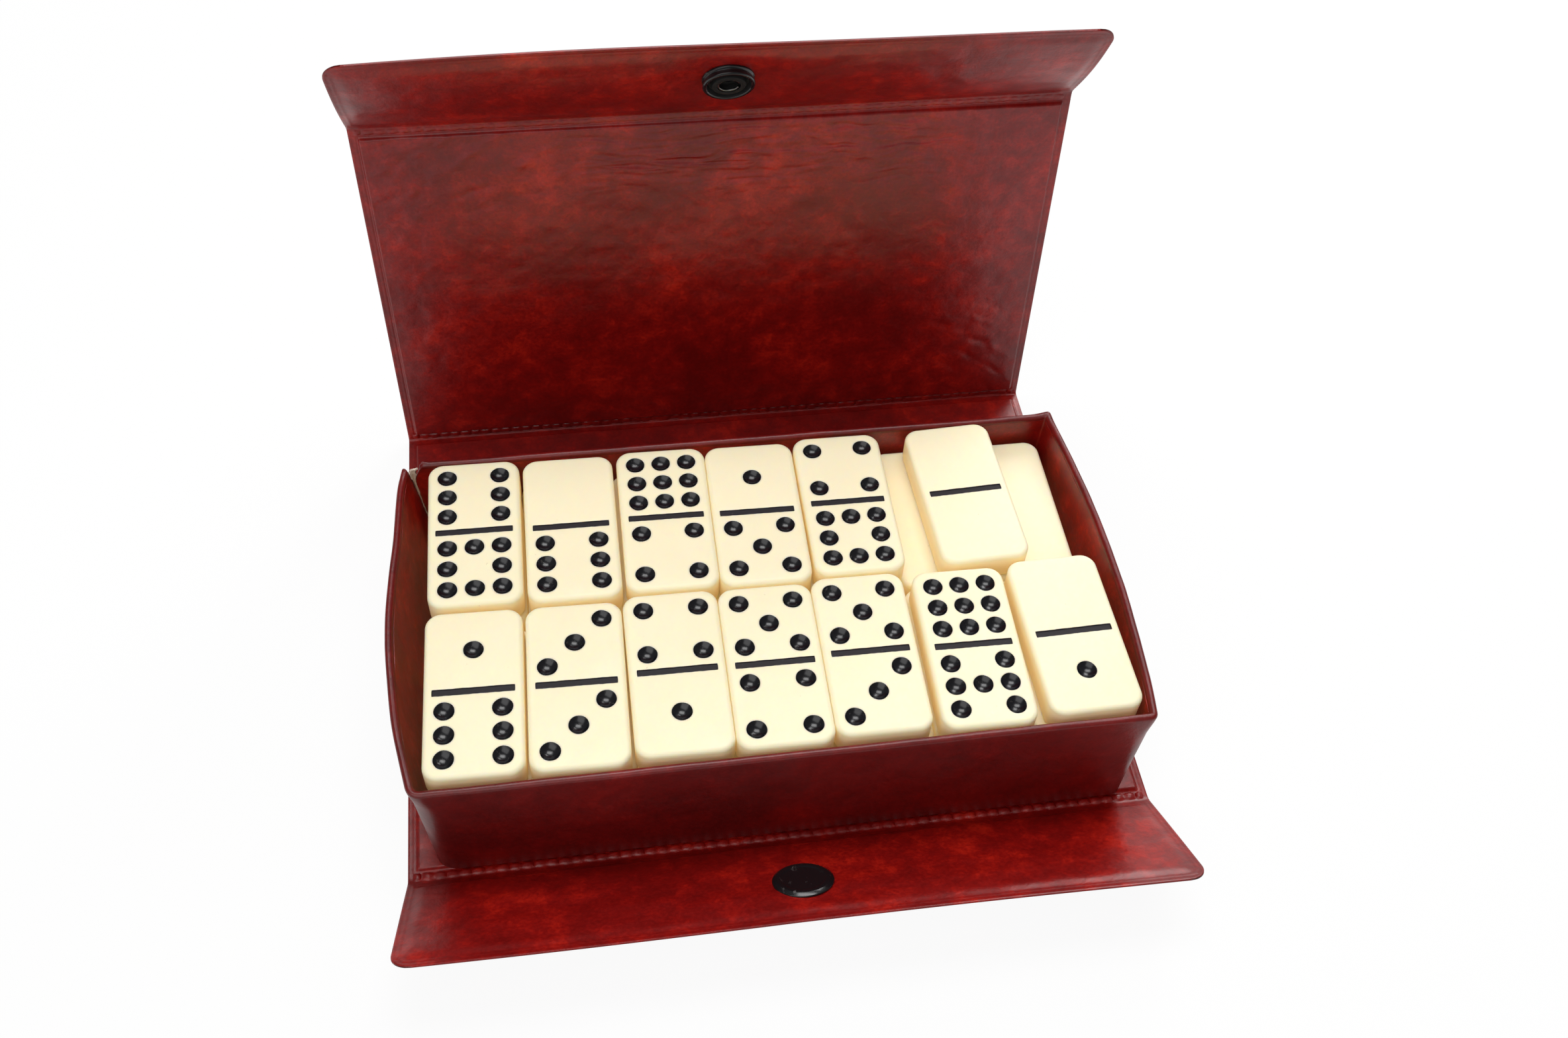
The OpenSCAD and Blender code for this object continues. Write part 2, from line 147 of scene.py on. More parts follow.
# %% A finish, and how it grows nodes
class Look:
    """A material, or the world, and the nodes that make it."""

    def __init__(self, name, kind="materials"):
        self.data = getattr(bpy.data, kind).new(name)
        self.data.use_nodes = True
        self.tree = self.data.node_tree
        self.tree.nodes.clear()

    def add(self, kind, settings=(), sockets=()):
        node = self.tree.nodes.new(kind)
        for name, value in dict(settings).items():
            setattr(node, name, value)
        for name, value in dict(sockets).items():
            self.feed(node.inputs[name], value)
        return Node(self, node)

    def feed(self, socket, value):
        if isinstance(value, Wire):
            self.tree.links.new(value.socket, socket)
        elif isinstance(value, tuple) and len(value) == 3 and socket.type == "RGBA":
            socket.default_value = (*value, 1)
        else:
            socket.default_value = value

    def place(self):
        """Where a point lies in its object's own space."""
        return self.add("ShaderNodeTexCoord")["Object"]

    def stored(self, attribute, output="Vector"):
        """What the mesh carries for each of its points."""
        return self.add("ShaderNodeAttribute", {"attribute_name": attribute})[output]

    def stretch(self, place, factors):
        return self.add("ShaderNodeVectorMath", {"operation": "MULTIPLY"}, {0: place, 1: factors})[0]

    def noise(self, place, scale, detail=4, roughness=0.5, distortion=0.0):
        sockets = {"Vector": place, "Scale": scale, "Detail": detail, "Roughness": roughness,
                   "Distortion": distortion}
        return self.add("ShaderNodeTexNoise", {}, sockets)[0]

    def blend(self, share, a, b):
        node = self.add("ShaderNodeMix", {"data_type": "RGBA"})
        inputs = [s for s in node.node.inputs if s.enabled]
        for socket, value in zip(inputs, (share, a, b)):
            self.feed(socket, value)
        return Wire(self, [s for s in node.node.outputs if s.enabled][0])

    def bump(self, height, strength, distance, normal=None):
        sockets = {"Height": height, "Strength": strength, "Distance": distance}
        if normal:
            sockets["Normal"] = normal
        return self.add("ShaderNodeBump", {}, sockets)["Normal"]

    def finish(self, shader, output="ShaderNodeOutputMaterial"):
        self.add(output, {}, {"Surface": shader})
        return self.data

    def surface(self, sockets):
        return self.finish(self.add("ShaderNodeBsdfPrincipled", {}, sockets)[0])

# %% [markdown]
# ## Burgundy vinyl
# The cover is soft PVC printed to look like old leather: dark oxblood with clouds of bright red that
# are made of short speckles, under a clear, slightly wavy gloss. One noise could not give both the
# clouds and the speckles, so a wide noise places the clouds and a fine one breaks them up. The grain is
# a bump of small cells. The sheets carry their own flat coordinates, so the print bends with a hinge
# instead of sliding over it.

# %% Vinyl
def vinyl(name, dark, mid, bright, cloud=(0.44, 0.70), shine=0.29):
    """Printed vinyl. cloud says where the bright clouds begin and end on the noise."""
    look = Look(name)
    place = look.stored("flat")
    wide = look.noise(place, 34, 4, 0.6, 0.3)
    patch = look.noise(place, 180, 5, 0.62, 0.3)
    speck = look.noise(place, 1000, 4, 0.7)
    fine = look.noise(place, 2600, 2, 0.5)
    clouds = (wide * 0.5 + patch * 0.5).step(*cloud)
    glow = (speck + 0.3 * clouds).step(0.42, 0.95)
    shade = (wide * 0.45 + patch * 0.35 + speck * 0.2).step(0.36, 0.6)
    base = look.blend(shade, dark, mid)
    colour = look.blend(glow * (0.2 + 0.8 * clouds), base, bright)
    pores = {"Vector": place, "Scale": 1700}
    cells = look.add("ShaderNodeTexVoronoi", {"feature": "SMOOTH_F1"}, pores)["Distance"]
    grain = look.bump(cells + fine * 0.5, 0.10, 0.00012)
    soft = look.bump(patch, 0.16, 0.0009, grain)
    rough = shine + 0.12 * speck - 0.05 * clouds
    return look.surface({"Base Color": colour, "Roughness": rough, "Normal": soft})


# The two copies of the vinyl differ in brightness as painted light. The lining is the lit copy. The outside
# is a darker copy, which is painted shade on the tray's front wall and on the outer sheets.
LIT_INSIDE_TONES = (0.13, 0.0010, 0.0008), (0.235, 0.0024, 0.0016), (0.46, 0.014, 0.005)
SHADED_OUTSIDE_TONES = (0.08, 0.0008, 0.0008), (0.15, 0.0018, 0.0014), (0.27, 0.007, 0.004)
lit_inside_vinyl = vinyl("vinyl_inside", *LIT_INSIDE_TONES)
shaded_outside_vinyl = vinyl("vinyl_outside", *SHADED_OUTSIDE_TONES, cloud=(0.5, 0.75), shine=0.31)
print("vinyl finishes:", lit_inside_vinyl.name, shaded_outside_vinyl.name)

# %% [markdown]
# ## Greyboard and card
# The stiffeners are hidden in the cover, but they are there: millboard made of grey waste paper, with
# short fibres and faint specks. A stretched noise gives the fibres. The board under the tray's floor is
# flat and hidden, so the solid of the CAD model stays, and only takes this finish. The others are made
# again to fit the sheets round them.

# %% Greyboard
def greyboard():
    look = Look("greyboard")
    place = look.place()
    long_way = look.stretch(place, (1, 6, 6))
    fibre = look.noise(long_way, 900, 4, 0.6)
    specks = look.noise(place, 1500, 2).step(0.62, 0.7)
    paper = look.blend(fibre, (0.42, 0.38, 0.33), (0.56, 0.52, 0.46))
    colour = look.blend(specks * 0.5, paper, (0.2, 0.17, 0.15))
    bump = look.bump(fibre, 0.3, 0.0001)
    return look.surface({"Base Color": colour, "Roughness": 0.9 - 0.1 * fibre, "Normal": bump})


board_finish = greyboard()
floor_board = frame["nodes"]["tray_floor_board"].data
floor_board.materials.clear()
floor_board.materials.append(board_finish)
print("greyboard on the tray's floor board:", len(floor_board.polygons), "faces")

# %% [markdown]
# ## Making a mesh from lists of points
# Every piece below is worked out as arrays of points and faces. One helper turns them into an object,
# marks the material slot, and stores the flat coordinates for the print. Smooth shading is used
# throughout, because the roundings are in the mesh.

# %% Mesh helper
def make(name, points, faces, finishes, which=None, flat=None):
    points = np.asarray(points, float)
    mesh = bpy.data.meshes.new(name)
    mesh.from_pydata((points * MM).tolist(), [], faces)
    for finish in finishes:
        mesh.materials.append(finish)
    mesh.polygons.foreach_set("use_smooth", [True] * len(mesh.polygons))
    if which is not None:
        mesh.polygons.foreach_set("material_index", which)
    place = points if flat is None else np.asarray(flat, float)
    stored = mesh.attributes.new("flat", "FLOAT_VECTOR", "POINT")
    stored.data.foreach_set("vector", (place * MM).ravel().astype(np.float32))
    mesh.validate()
    mesh.update()
    obj = bpy.data.objects.new(name, mesh)
    bpy.context.scene.collection.objects.link(obj)
    return obj


def smooth(t):
    t = np.clip(t, 0, 1)
    return t * t * (3 - 2 * t)


print("smooth turns 0.25 into", smooth(0.25))

# %% [markdown]
# ## Noise for shapes
# Wrinkles, waves and wobbly edges have to be in the mesh, and the same at every run. A lattice of
# random numbers from a fixed seed, read between its points with a smooth weight, does that for whole
# arrays at once.

# %% Noise on arrays
LATTICE = np.random.default_rng(7).random((256, 256)) * 2 - 1


def lattice_noise(x, y, seed=0):
    x, y = np.asarray(x, float) + 37.7 * seed, np.asarray(y, float) + 91.3 * seed
    i, j = np.floor(x).astype(int), np.floor(y).astype(int)
    u, v = smooth(x - i), smooth(y - j)
    at = lambda a, b: LATTICE[a % 256, b % 256]
    near = at(i, j) * (1 - u) + at(i + 1, j) * u
    far = at(i, j + 1) * (1 - u) + at(i + 1, j + 1) * u
    return near * (1 - v) + far * v


def rough_noise(x, y, seed=0, octaves=3):
    return sum(lattice_noise(x * 2 ** k, y * 2 ** k, seed + k) / 2 ** k for k in range(octaves))


print("noise at one point:", round(float(rough_noise(0.3, 0.7)), 4))

# %% [markdown]
# ## Where each panel lies
# The cover has five panels: base, spine, lid, and a flap on the lid and on the base. Each panel is
# drawn flat, with X along its hinge, S away from the hinge and Z out of its inner face, and is then
# laid in place by three axes. The hinge lines and angles are those of the CAD model.

# %% Sizes, and what a panel is
HINGE_Z = 0.45
FRONT_HINGE_Y, REAR_HINGE_Y = -54.271, 52.25
SPINE, LID, LID_FLAP, FRONT_FLAP = 38.75, 109.72, 32.0, 37.023
LID_ANGLE, LID_FLAP_ANGLE, FRONT_FLAP_ANGLE = (math.radians(a) for a in (85.8, 29.8, 34.6))
COVER_X = 94.85
EDGE_WELD, HINGE_WELD = 2.4, 3.0
OUTER, CORE, WELD_IN, BOARD_IN, CARD_IN = -0.45, -0.05, 0.35, 1.35, 0.85


def lean(angle):
    return np.array([0, math.cos(angle), math.sin(angle)])


class Panel:
    """A panel of the cover. before is the direction in which its neighbour reaches the hinge, and edges
    says how far its left and its right edge stand out, each at the hinge and at the far end."""

    def __init__(self, origin, along, before, length, sign=1, inner=BOARD_IN,
                 edges=((0, 0), (0, 0)), corner=0.0):
        self.origin, self.along, self.before = map(np.array, (origin, along, before))
        self.across = np.array([sign, 0, 0])
        self.length, self.inner, self.edges, self.corner = length, inner, edges, corner

    def square_half(self, s, x):
        """Half the width at s, on the side of x, before the corners are rounded."""
        share = np.clip(s / self.length, 0, 1)
        left, right = (COVER_X + a + (b - a) * share for a, b in self.edges)
        return np.where(x * self.across[0] > 0, right, left)

    def half(self, s, x):
        past = np.clip(s - (self.length - self.corner), 0, self.corner)
        rounded = self.corner - np.sqrt(np.maximum(self.corner ** 2 - past ** 2, 0))
        return self.square_half(s, x) - rounded

    def inset(self, x, s):
        """How far a point is from the free edges."""
        side = self.square_half(s, x) - np.abs(x)
        if not self.corner:
            return side
        end, r = self.length - s, self.corner
        in_corner = (side < r) & (end < r)
        return np.where(in_corner, r - np.hypot(r - side, r - end), np.minimum(side, end))

    def place(self, x, s, z):
        """Lays points in the frame. Near the hinge the sheet turns from its neighbour on a short curve."""
        x, s, z = np.broadcast_arrays(x, s, z)
        t = np.clip((s + BEND) / (2 * BEND), 0, 1)[..., None]
        direction = (1 - t) * self.before + t * self.along
        curve = BEND * (t ** 2 * self.along - (1 - t) ** 2 * self.before)
        straight = np.where((s < 0)[..., None], self.before, self.along) * s[..., None]
        middle = np.where((np.abs(s) < BEND)[..., None], curve, straight)
        direction = direction / np.linalg.norm(direction, axis=-1, keepdims=True)
        up = np.cross(np.broadcast_to(self.across, direction.shape), direction)
        return self.origin + x[..., None] * self.across + middle + up * z[..., None]


cover_length = REAR_HINGE_Y - FRONT_HINGE_Y + SPINE + LID + LID_FLAP + FRONT_FLAP
print("the cover laid flat is", round(cover_length, 1), "by", 2 * COVER_X, "mm")

# %% The five panels
BEND = 1.3
Y = np.array([0, 1.0, 0])
lid_top = np.array([0, REAR_HINGE_Y + SPINE, HINGE_Z]) + LID * lean(LID_ANGLE)
LID_EDGES = ((0, 0), (0, -1.4))
LID_FLAP_EDGES = ((0, 1.1), (-1.4, 1.1))
FRONT_FLAP_EDGES = ((0, 1.3), (0, 1.3))
FLAP_CORNER = 5
lid_way, lid_flap_way = lean(LID_ANGLE), lean(LID_ANGLE + LID_FLAP_ANGLE)
front_flap_way = lean(math.pi - FRONT_FLAP_ANGLE)
front_hinge, rear_hinge = (0, FRONT_HINGE_Y, HINGE_Z), (0, REAR_HINGE_Y, HINGE_Z)
PANELS = {
    "base": Panel(front_hinge, Y, Y, REAR_HINGE_Y - FRONT_HINGE_Y),
    "spine": Panel(rear_hinge, Y, Y, SPINE),
    "lid": Panel((0, REAR_HINGE_Y + SPINE, HINGE_Z), lid_way, Y, LID, edges=LID_EDGES),
    "lid_flap": Panel(lid_top, lid_flap_way, lid_way, LID_FLAP, 1, CARD_IN, LID_FLAP_EDGES, FLAP_CORNER),
    "front_flap": Panel(front_hinge, front_flap_way, -Y, FRONT_FLAP, -1, CARD_IN, FRONT_FLAP_EDGES,
                        FLAP_CORNER),
}
print("the lid's upper edge is at", lid_top.round(1), "mm")

# %% [markdown]
# ## How a welded sheet is shaped
# On the real case two sheets of vinyl are welded together round each board. A heated tool with small
# blocks on it presses the weld along each hinge, so the sheet is thin there, with a row of raised pads.
# The sheet rises over the board's edge, where a thin bead of squeezed vinyl runs. All of this is a
# height worked out for every point of a grid, which is finer near the welds.

# %% Heights of the weld
BLOCK_PITCH = 3.05


def ridge(distance, width):
    return np.exp(-(distance / width) ** 2)


def blocks(x, s, first, last, square):
    """The raised pads of a hinge weld, from first to last along S. A larger square gives boxier pads."""
    wobble = 0.12 * lattice_noise(x / 4, s * 0, 3)
    phase = np.abs((x / BLOCK_PITCH + 0.04 * wobble) % 1 - 0.5) * BLOCK_PITCH
    middle, half = (first + last) / 2, (last - first) / 2
    round_off = (phase / 1.42) ** square + np.abs((s - middle + wobble) / half) ** square
    return np.clip(1 - round_off, 0, 1) ** 0.6


def weld_height(panel, x, s, pads):
    """What the weld adds to a flat sheet: pads and a bead along the hinge, a bead along free edges."""
    inset = panel.inset(x, s)
    inside = smooth((inset - 1.2) / 1.0)
    press = 0.75 + 0.25 * lattice_noise(x / 30, s * 0, 8)
    first, last, square, lift = pads
    height = lift * press * blocks(x, s, first, last, square) * inside
    height += 0.09 * ridge(s - first + 0.3, 0.22) * inside
    height += 0.05 * ridge(inset - 1.6, 0.45) * smooth((s - 1.0) / 1.5)
    dashes = np.clip(np.sin(s * 2 * math.pi / 1.6), 0, 1)
    height -= 0.03 * dashes * ridge(inset - 1.0, 0.4) * smooth((s - 3) / 2)
    return height - 0.12 * np.clip(1 - inset / 0.35, 0, 1) ** 2


def over_the_board(panel, x, s, hinged_end):
    """0 on the weld and 1 over the board, with a rounded rise at the board's edge."""
    near = smooth((s - HINGE_WELD + 0.4) / 0.8)
    if panel.corner:
        return smooth((panel.inset(x, s) - 1.2) / 3.6) * near
    rise = smooth((panel.inset(x, s) - EDGE_WELD + 0.35) / 0.75) * near
    if hinged_end:
        rise = rise * smooth((panel.length - s - HINGE_WELD + 0.35) / 0.75)
    return rise


print("pads along a hinge:", round(2 * COVER_X / BLOCK_PITCH))

# %% [markdown]
# ## Waves and wrinkles
# Old vinyl is never flat. The lid's lining has slack that has set into fine level wrinkles under the
# flap and slanted creases near its lower right corner. The flaps are only stiffened with card, so they
# warp: the front flap twists, and both curl a little at their ends. A warp moves the whole panel,
# lining, card and outer sheet together.

# %% Warp of a panel
SOCKET_S, STUD_S = 17.315, 21.3
TWIST, CURL, SWELL, HELD_R = 1.1, 0.9, 1.2, 14


def warp(name, x, s):
    if name == "front_flap":
        share, out = np.clip(s / FRONT_FLAP, 0, 1), -x
        twist = -TWIST * out / COVER_X * share
        return twist + (0.35 * np.sin(out / 31 + 0.6) * share - 0.5 * share ** 2) * away(x, s, STUD_S)
    if name == "lid_flap":
        share = np.clip(s / LID_FLAP, 0, 1)
        curl = CURL * (np.abs(x) / COVER_X) ** 3 * share
        swell = SWELL * np.sin(share * math.pi) + 0.3 * np.sin(x / 26) * share
        return curl + swell * away(x, s, SOCKET_S)
    return 0 * x


def away(x, s, snap):
    """0 at the press stud, where the panel is held flat, and 1 far from it."""
    return 1 - np.exp(-((x ** 2 + (s - snap) ** 2) / HELD_R ** 2) ** 2)


print("the lid's flap bulges by", round(float(warp("lid_flap", 60.0, 16.0)), 2), "mm")

# %% Wrinkles of a lining
def wrinkles(name, x, s):
    wave = 0.16 * rough_noise(x / 18, s / 14, 5)
    if name == "lid":
        drift = 2.2 * rough_noise(x / 22, s / 16, 11)
        level = np.abs(rough_noise(x / 14, (s + drift) / 1.9, 21, 2))
        top = smooth((s - 82) / 12) * smooth((107 - s) / 3)
        wave += 0.34 * (0.35 - level) * top * smooth((x + 50) / 30) * smooth((75 - x) / 30)
        slant = (x * 0.55 + s * 0.9 + drift)
        crease = ridge(np.sin(slant / 2.3), 0.35) * rough_noise(x / 7, s / 7, 31)
        wave += 0.26 * crease * smooth((x - 35) / 25) * smooth((45 - s) / 15)
        left = (x * 0.5 - s * 0.9 + drift)
        pucker = ridge(np.sin(left / 2.6), 0.4) * rough_noise(x / 9, s / 9, 37)
        wave += 0.26 * pucker * smooth((-30 - x) / 25) * smooth((s - 78) / 12)
        wave += 0.06 * rough_noise(x / 3.6, s / 2.8, 41)
    if name in ("lid_flap", "front_flap"):
        wave += 0.12 * rough_noise(x / 24, s / 7, 51) + 0.03 * rough_noise(x / 3, s / 3, 57)
    return wave


deepest = wrinkles("lid", np.linspace(-90, 90, 400), 96.0).min()
print("deepest wrinkle of the lid:", round(float(deepest), 3), "mm")

# %% [markdown]
# ## A sheet as a closed mesh
# A sheet is two grids with the same columns, one for each face, joined by a wall round the edge. The
# face that is seen has many rows. The hidden one keeps only the rows that its shape needs, which halves
# the size of the mesh.

# %% Bands of quads, and a closed sheet from two grids
def bands(rings, around, closed=False):
    """Quads between rings that lie one after another, each with the same count of points around."""
    i = np.arange(around)
    k = (i + 1) % around
    pairs = [(a * around, (a + 1) % rings * around) for a in range(rings if closed else rings - 1)]
    return [tuple(f) for a, b in pairs for f in np.stack([a + i, a + k, b + k, b + i], -1).tolist()]


def closed_sheet(upper, lower):
    """Points and faces of the body between two grids of shape (rows, columns, 3) with the same columns."""
    rows, columns = upper.shape[:2]
    low_rows = lower.shape[0]
    base = rows * columns
    up = np.arange(base).reshape(rows, columns)
    low = base + np.arange(low_rows * columns).reshape(low_rows, columns)

    def quads(a, b, c, d):
        return np.stack([a, b, c, d], -1).reshape(-1, 4)

    faces = [
        quads(up[:-1, :-1], up[:-1, 1:], up[1:, 1:], up[1:, :-1]),
        quads(low[:-1, :-1], low[1:, :-1], low[1:, 1:], low[:-1, 1:]),
        quads(low[0, :-1], low[0, 1:], up[0, 1:], up[0, :-1]),
        quads(low[-1, 1:], low[-1, :-1], up[-1, :-1], up[-1, 1:]),
    ]
    faces = [tuple(f) for f in np.concatenate(faces).tolist()]
    faces.append(tuple(up[:, 0].tolist() + low[::-1, 0].tolist()))
    faces.append(tuple(up[::-1, -1].tolist() + low[:, -1].tolist()))
    points = np.concatenate([upper.reshape(-1, 3), lower.reshape(-1, 3)])
    return points, faces


def rows_between(first, last, step, fine=()):
    """Rows from first to last, with finer rows from each (start, end, step) of fine."""
    rows = set(np.linspace(first, last, max(2, round((last - first) / step) + 1)).round(3))
    for start, end, small in fine:
        start, end = max(start, first), min(end, last)
        if end > start:
            rows |= set(np.linspace(start, end, max(2, round((end - start) / small) + 1)).round(3))
    rows = sorted(rows)
    kept = [rows[0]]
    for row in rows[1:-1]:
        if row - kept[-1] > 0.09 and rows[-1] - row > 0.09:
            kept.append(row)
    return np.array(kept + [rows[-1]])

# %% Columns of the sheets
EDGE_COLUMNS = np.arange(0, 3.3, 0.17)
inner_columns = np.linspace(-COVER_X + 3.4, COVER_X - 3.4, 335)
COLUMNS = np.concatenate([EDGE_COLUMNS - COVER_X, inner_columns, COVER_X - EDGE_COLUMNS[::-1]])
SEAM = 2.4
# first and last S, squareness and height of the pads of each hinge weld
PADS = {"base": (-9, -7, 2, 0), "spine": (0.5, 2.5, 4, 0.3), "lid": (0.6, 2.5, 4, 0.5),
        "lid_flap": (-2.1, -0.5, 3, 0.28), "front_flap": (-2.3, -0.1, 2.7, 0.62)}
# where each panel begins on the flat cover, for the print, and how far off the print of the outside is
OUTSIDE_PRINT = 300
COVER_START = {"base": 0, "spine": 106.5, "lid": 145.3, "lid_flap": 255.0, "front_flap": 0}
STEPS = {"base": 2.5, "spine": 0.8, "lid": 0.85, "lid_flap": 0.7, "front_flap": 0.7}
print("columns:", len(COLUMNS))

# %% [markdown]
# ## The two sheets of each panel
# A lining is shaped on its seen face and follows the board's edge on its hidden one. An outer sheet is
# the other way round, and its weld is sunk, so that the case still lies flat. A sheet that crosses a
# hinge is left where it was made and is not attached to either body. Its seam lies at the foot of the
# board's edge, where the real weld has its crease.

# %% Grid and rows of a panel
def grid(name, rows):
    panel = PANELS[name]
    s, x = np.meshgrid(rows, COLUMNS, indexing="ij")
    return panel, x / COVER_X * panel.half(s, x), s


def panel_rows(name):
    panel = PANELS[name]
    hinged_end = not panel.corner
    first = SEAM if name == "base" else -SEAM
    last = panel.length - (SEAM if hinged_end else 0)
    fine = [(-SEAM, 4.0, 0.2), (panel.length - 3.8, panel.length, 0.2)]
    if name == "lid":
        fine.append((80, 107.3, 0.45))
    seen = rows_between(first, last, STEPS[name], fine)
    coarse, far_end = (3, (last - 5, last, 0.35)) if panel.corner else (6, (last - 3.6, last - 1.8, 0.4))
    hidden = rows_between(first, last, coarse, [(-1.5, 1.5, 0.3), (2.4, 3.6, 0.3), far_end])
    return seen, hidden, hinged_end


print("rows of the lid's seen and hidden face:", [len(rows) for rows in panel_rows("lid")[:2]])

# %% Crossing a hinge, and where the print lies
def cross_hinge(obj, name):
    if name == "base":
        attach(obj, "base")
        return
    panel = PANELS[name]
    start = (panel.origin - SEAM * panel.before) * MM
    end = (panel.origin + HINGE_WELD * panel.along) * MM
    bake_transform(obj)


def print_place(name, x, s, layer):
    sign = PANELS[name].across[0]
    along = -s if name == "front_flap" else s
    return np.stack([x * sign, along + COVER_START[name], 0 * x + layer], -1)

# %% Lining
def lining(name):
    seen, hidden, hinged_end = panel_rows(name)
    panel, x, s = grid(name, seen)
    rise = over_the_board(panel, x, s, hinged_end)
    wave = np.maximum(wrinkles(name, x, s), -0.2) * rise
    z = WELD_IN + rise * (panel.inner - WELD_IN) + weld_height(panel, x, s, PADS[name]) + wave
    upper, flat_upper = panel.place(x, s, z + warp(name, x, s)), print_place(name, x, s, 0)
    panel, x, s = grid(name, hidden)
    rise = over_the_board(panel, x, s, hinged_end)
    z = CORE + rise * (panel.inner - 0.4 - CORE)
    lower, flat_lower = panel.place(x, s, z + warp(name, x, s)), print_place(name, x, s, 0)
    points, faces = closed_sheet(upper, lower)
    flat = np.concatenate([flat_upper.reshape(-1, 3), flat_lower.reshape(-1, 3)])
    obj = make(name + ".lining", points, faces, [lit_inside_vinyl], flat=flat)
    cross_hinge(obj, name)
    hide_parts(name + "_lining")
    return obj

# %% Outer sheet
def outer_sheet(name):
    seen, hidden, hinged_end = panel_rows(name)
    panel, x, s = grid(name, seen)
    rise = over_the_board(panel, x, s, hinged_end)
    sunk = 0.2 * (1 - rise) - 0.75 * weld_height(panel, x, s, PADS[name])
    wave = 0.04 * (1 + rough_noise(x / 20, s / 16, 71)) * rise
    z = np.maximum(OUTER + sunk + wave, OUTER) + warp(name, x, s)
    outside, flat_outside = panel.place(x, s, z), print_place(name, x, s, OUTSIDE_PRINT)
    panel, x, s = grid(name, hidden)
    inside = panel.place(x, s, CORE + warp(name, x, s))
    flat_inside = print_place(name, x, s, OUTSIDE_PRINT)
    flat = np.concatenate([f[:, ::-1].reshape(-1, 3) for f in (flat_outside, flat_inside)])
    points, faces = closed_sheet(outside[:, ::-1], inside[:, ::-1])
    obj = make(name + ".outer_sheet", points, faces, [shaded_outside_vinyl], flat=flat)
    cross_hinge(obj, name)
    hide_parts(name + "_outer_skin")
    return obj

# %% Make the ten sheets
for name in PANELS:
    pair = lining(name), outer_sheet(name)
    print(name, "has", [len(o.data.polygons) for o in pair], "faces")

# %% [markdown]
# ## Boards and cards in the cover
# Each panel is stiffened by a board, and each flap by a thin card. A flap's card takes the same warp as
# the vinyl on both sides of it, and a flat one would cut through the sheets. So the stiffeners are made
# again from the panels' own outlines, a little inside the welds.

# %% Boards and cards
BOARD_GAP, CARD_GAP = 0.5, 2.5


def stiffener(name):
    panel = PANELS[name]
    kind, gap = ("card", CARD_GAP) if panel.corner else ("board", BOARD_GAP)
    far_weld = EDGE_WELD if panel.corner else HINGE_WELD
    rows = rows_between(HINGE_WELD + gap, panel.length - far_weld - gap, 1.5)
    s, x = np.meshgrid(rows, COLUMNS[::4], indexing="ij")
    width = panel.half(np.minimum(s + far_weld, panel.length), x) - EDGE_WELD - gap
    x = x / COVER_X * width
    bend = warp(name, x, s)
    upper = panel.place(x, s, panel.inner - 0.41 + bend)
    points, faces = closed_sheet(upper, panel.place(x, s, CORE + 0.01 + bend))
    obj = make(f"{name}.{kind}", points, faces, [board_finish])
    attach(obj, name)
    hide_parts(f"{name}_{kind}")
    return obj


print("stiffeners:", [stiffener(name).name for name in PANELS])

# %% [markdown]
# ## The tray
# The tray is a box of thin board. One vinyl sheet covers its outside and is turned over the rim, and
# another lines it. The short walls are bowed outward by the dominoes. The shape is a loop round the box
# for each pair of depth and height, with a small rounding at each corner. Loops are joined to make the
# sheet, and a short arc of loops makes the soft rim.

# %% Loops round the tray
TRAY_Z, WALL_H, RIM_Y, FRONT_LEAN, FOOT_X = 1.8, 34.85, 50.6, 1.7, 87.95
BOW = {1: 3.8, -1: 6.4}
SPLAY_FRONT, SPLAY_REAR = 2.1, 0.7
LONG_STEPS, SHORT_STEPS, CORNER_STEPS = 150, 80, 9
CORNER_CUT = {(1, -1): 4.0, (1, 1): 2.2, (-1, 1): 3.0, (-1, -1): 6.5}


def short_x(side, y, height):
    splay = SPLAY_FRONT + (SPLAY_REAR - SPLAY_FRONT) * (y / RIM_Y + 1) / 2
    return side * (FOOT_X + height / WALL_H * (splay + BOW[side] * (1 - (y / RIM_Y) ** 2)))


def tray_loop(depth, height):
    """Points round the tray at one depth and height, with the corners cut to curves."""
    front = depth - RIM_Y - FRONT_LEAN * (1 - height / WALL_H)
    rear = RIM_Y - depth
    tight = 1 - 0.5 * float(smooth((height - WALL_H + 9) / 9))
    cut = {corner: max(value * tight - depth, 0.5) for corner, value in CORNER_CUT.items()}

    def corner(sx, sy):
        y = front if sy < 0 else rear
        return np.array([short_x(sx, y, height) - sx * depth, y])

    def short_side(sx, y):
        return np.stack([short_x(sx, y, height) - sx * depth, y], -1)

    def curve(a, middle, b):
        t = np.linspace(0, 1, CORNER_STEPS)[1:-1, None]
        return (1 - t) ** 2 * a + 2 * t * (1 - t) * middle + t ** 2 * b

    right = short_side(1, np.linspace(front + cut[1, -1], rear - cut[1, 1], SHORT_STEPS))
    left = short_side(-1, np.linspace(rear - cut[-1, 1], front + cut[-1, -1], SHORT_STEPS))
    xs = np.linspace(corner(1, 1)[0] - cut[1, 1], corner(-1, 1)[0] + cut[-1, 1], LONG_STEPS)
    back = np.stack([xs, 0 * xs + rear], -1)
    xs = np.linspace(corner(-1, -1)[0] + cut[-1, -1], corner(1, -1)[0] - cut[1, -1], LONG_STEPS)
    fore = np.stack([xs, 0 * xs + front], -1)
    flat = np.concatenate([
        right, curve(right[-1], corner(1, 1), back[0]), back, curve(back[-1], corner(-1, 1), left[0]),
        left, curve(left[-1], corner(-1, -1), fore[0]), fore, curve(fore[-1], corner(1, -1), right[0])])
    return np.column_stack([flat, np.full(len(flat), TRAY_Z + height)])


LOOP = len(tray_loop(0, 0))
print("points round the tray:", LOOP)

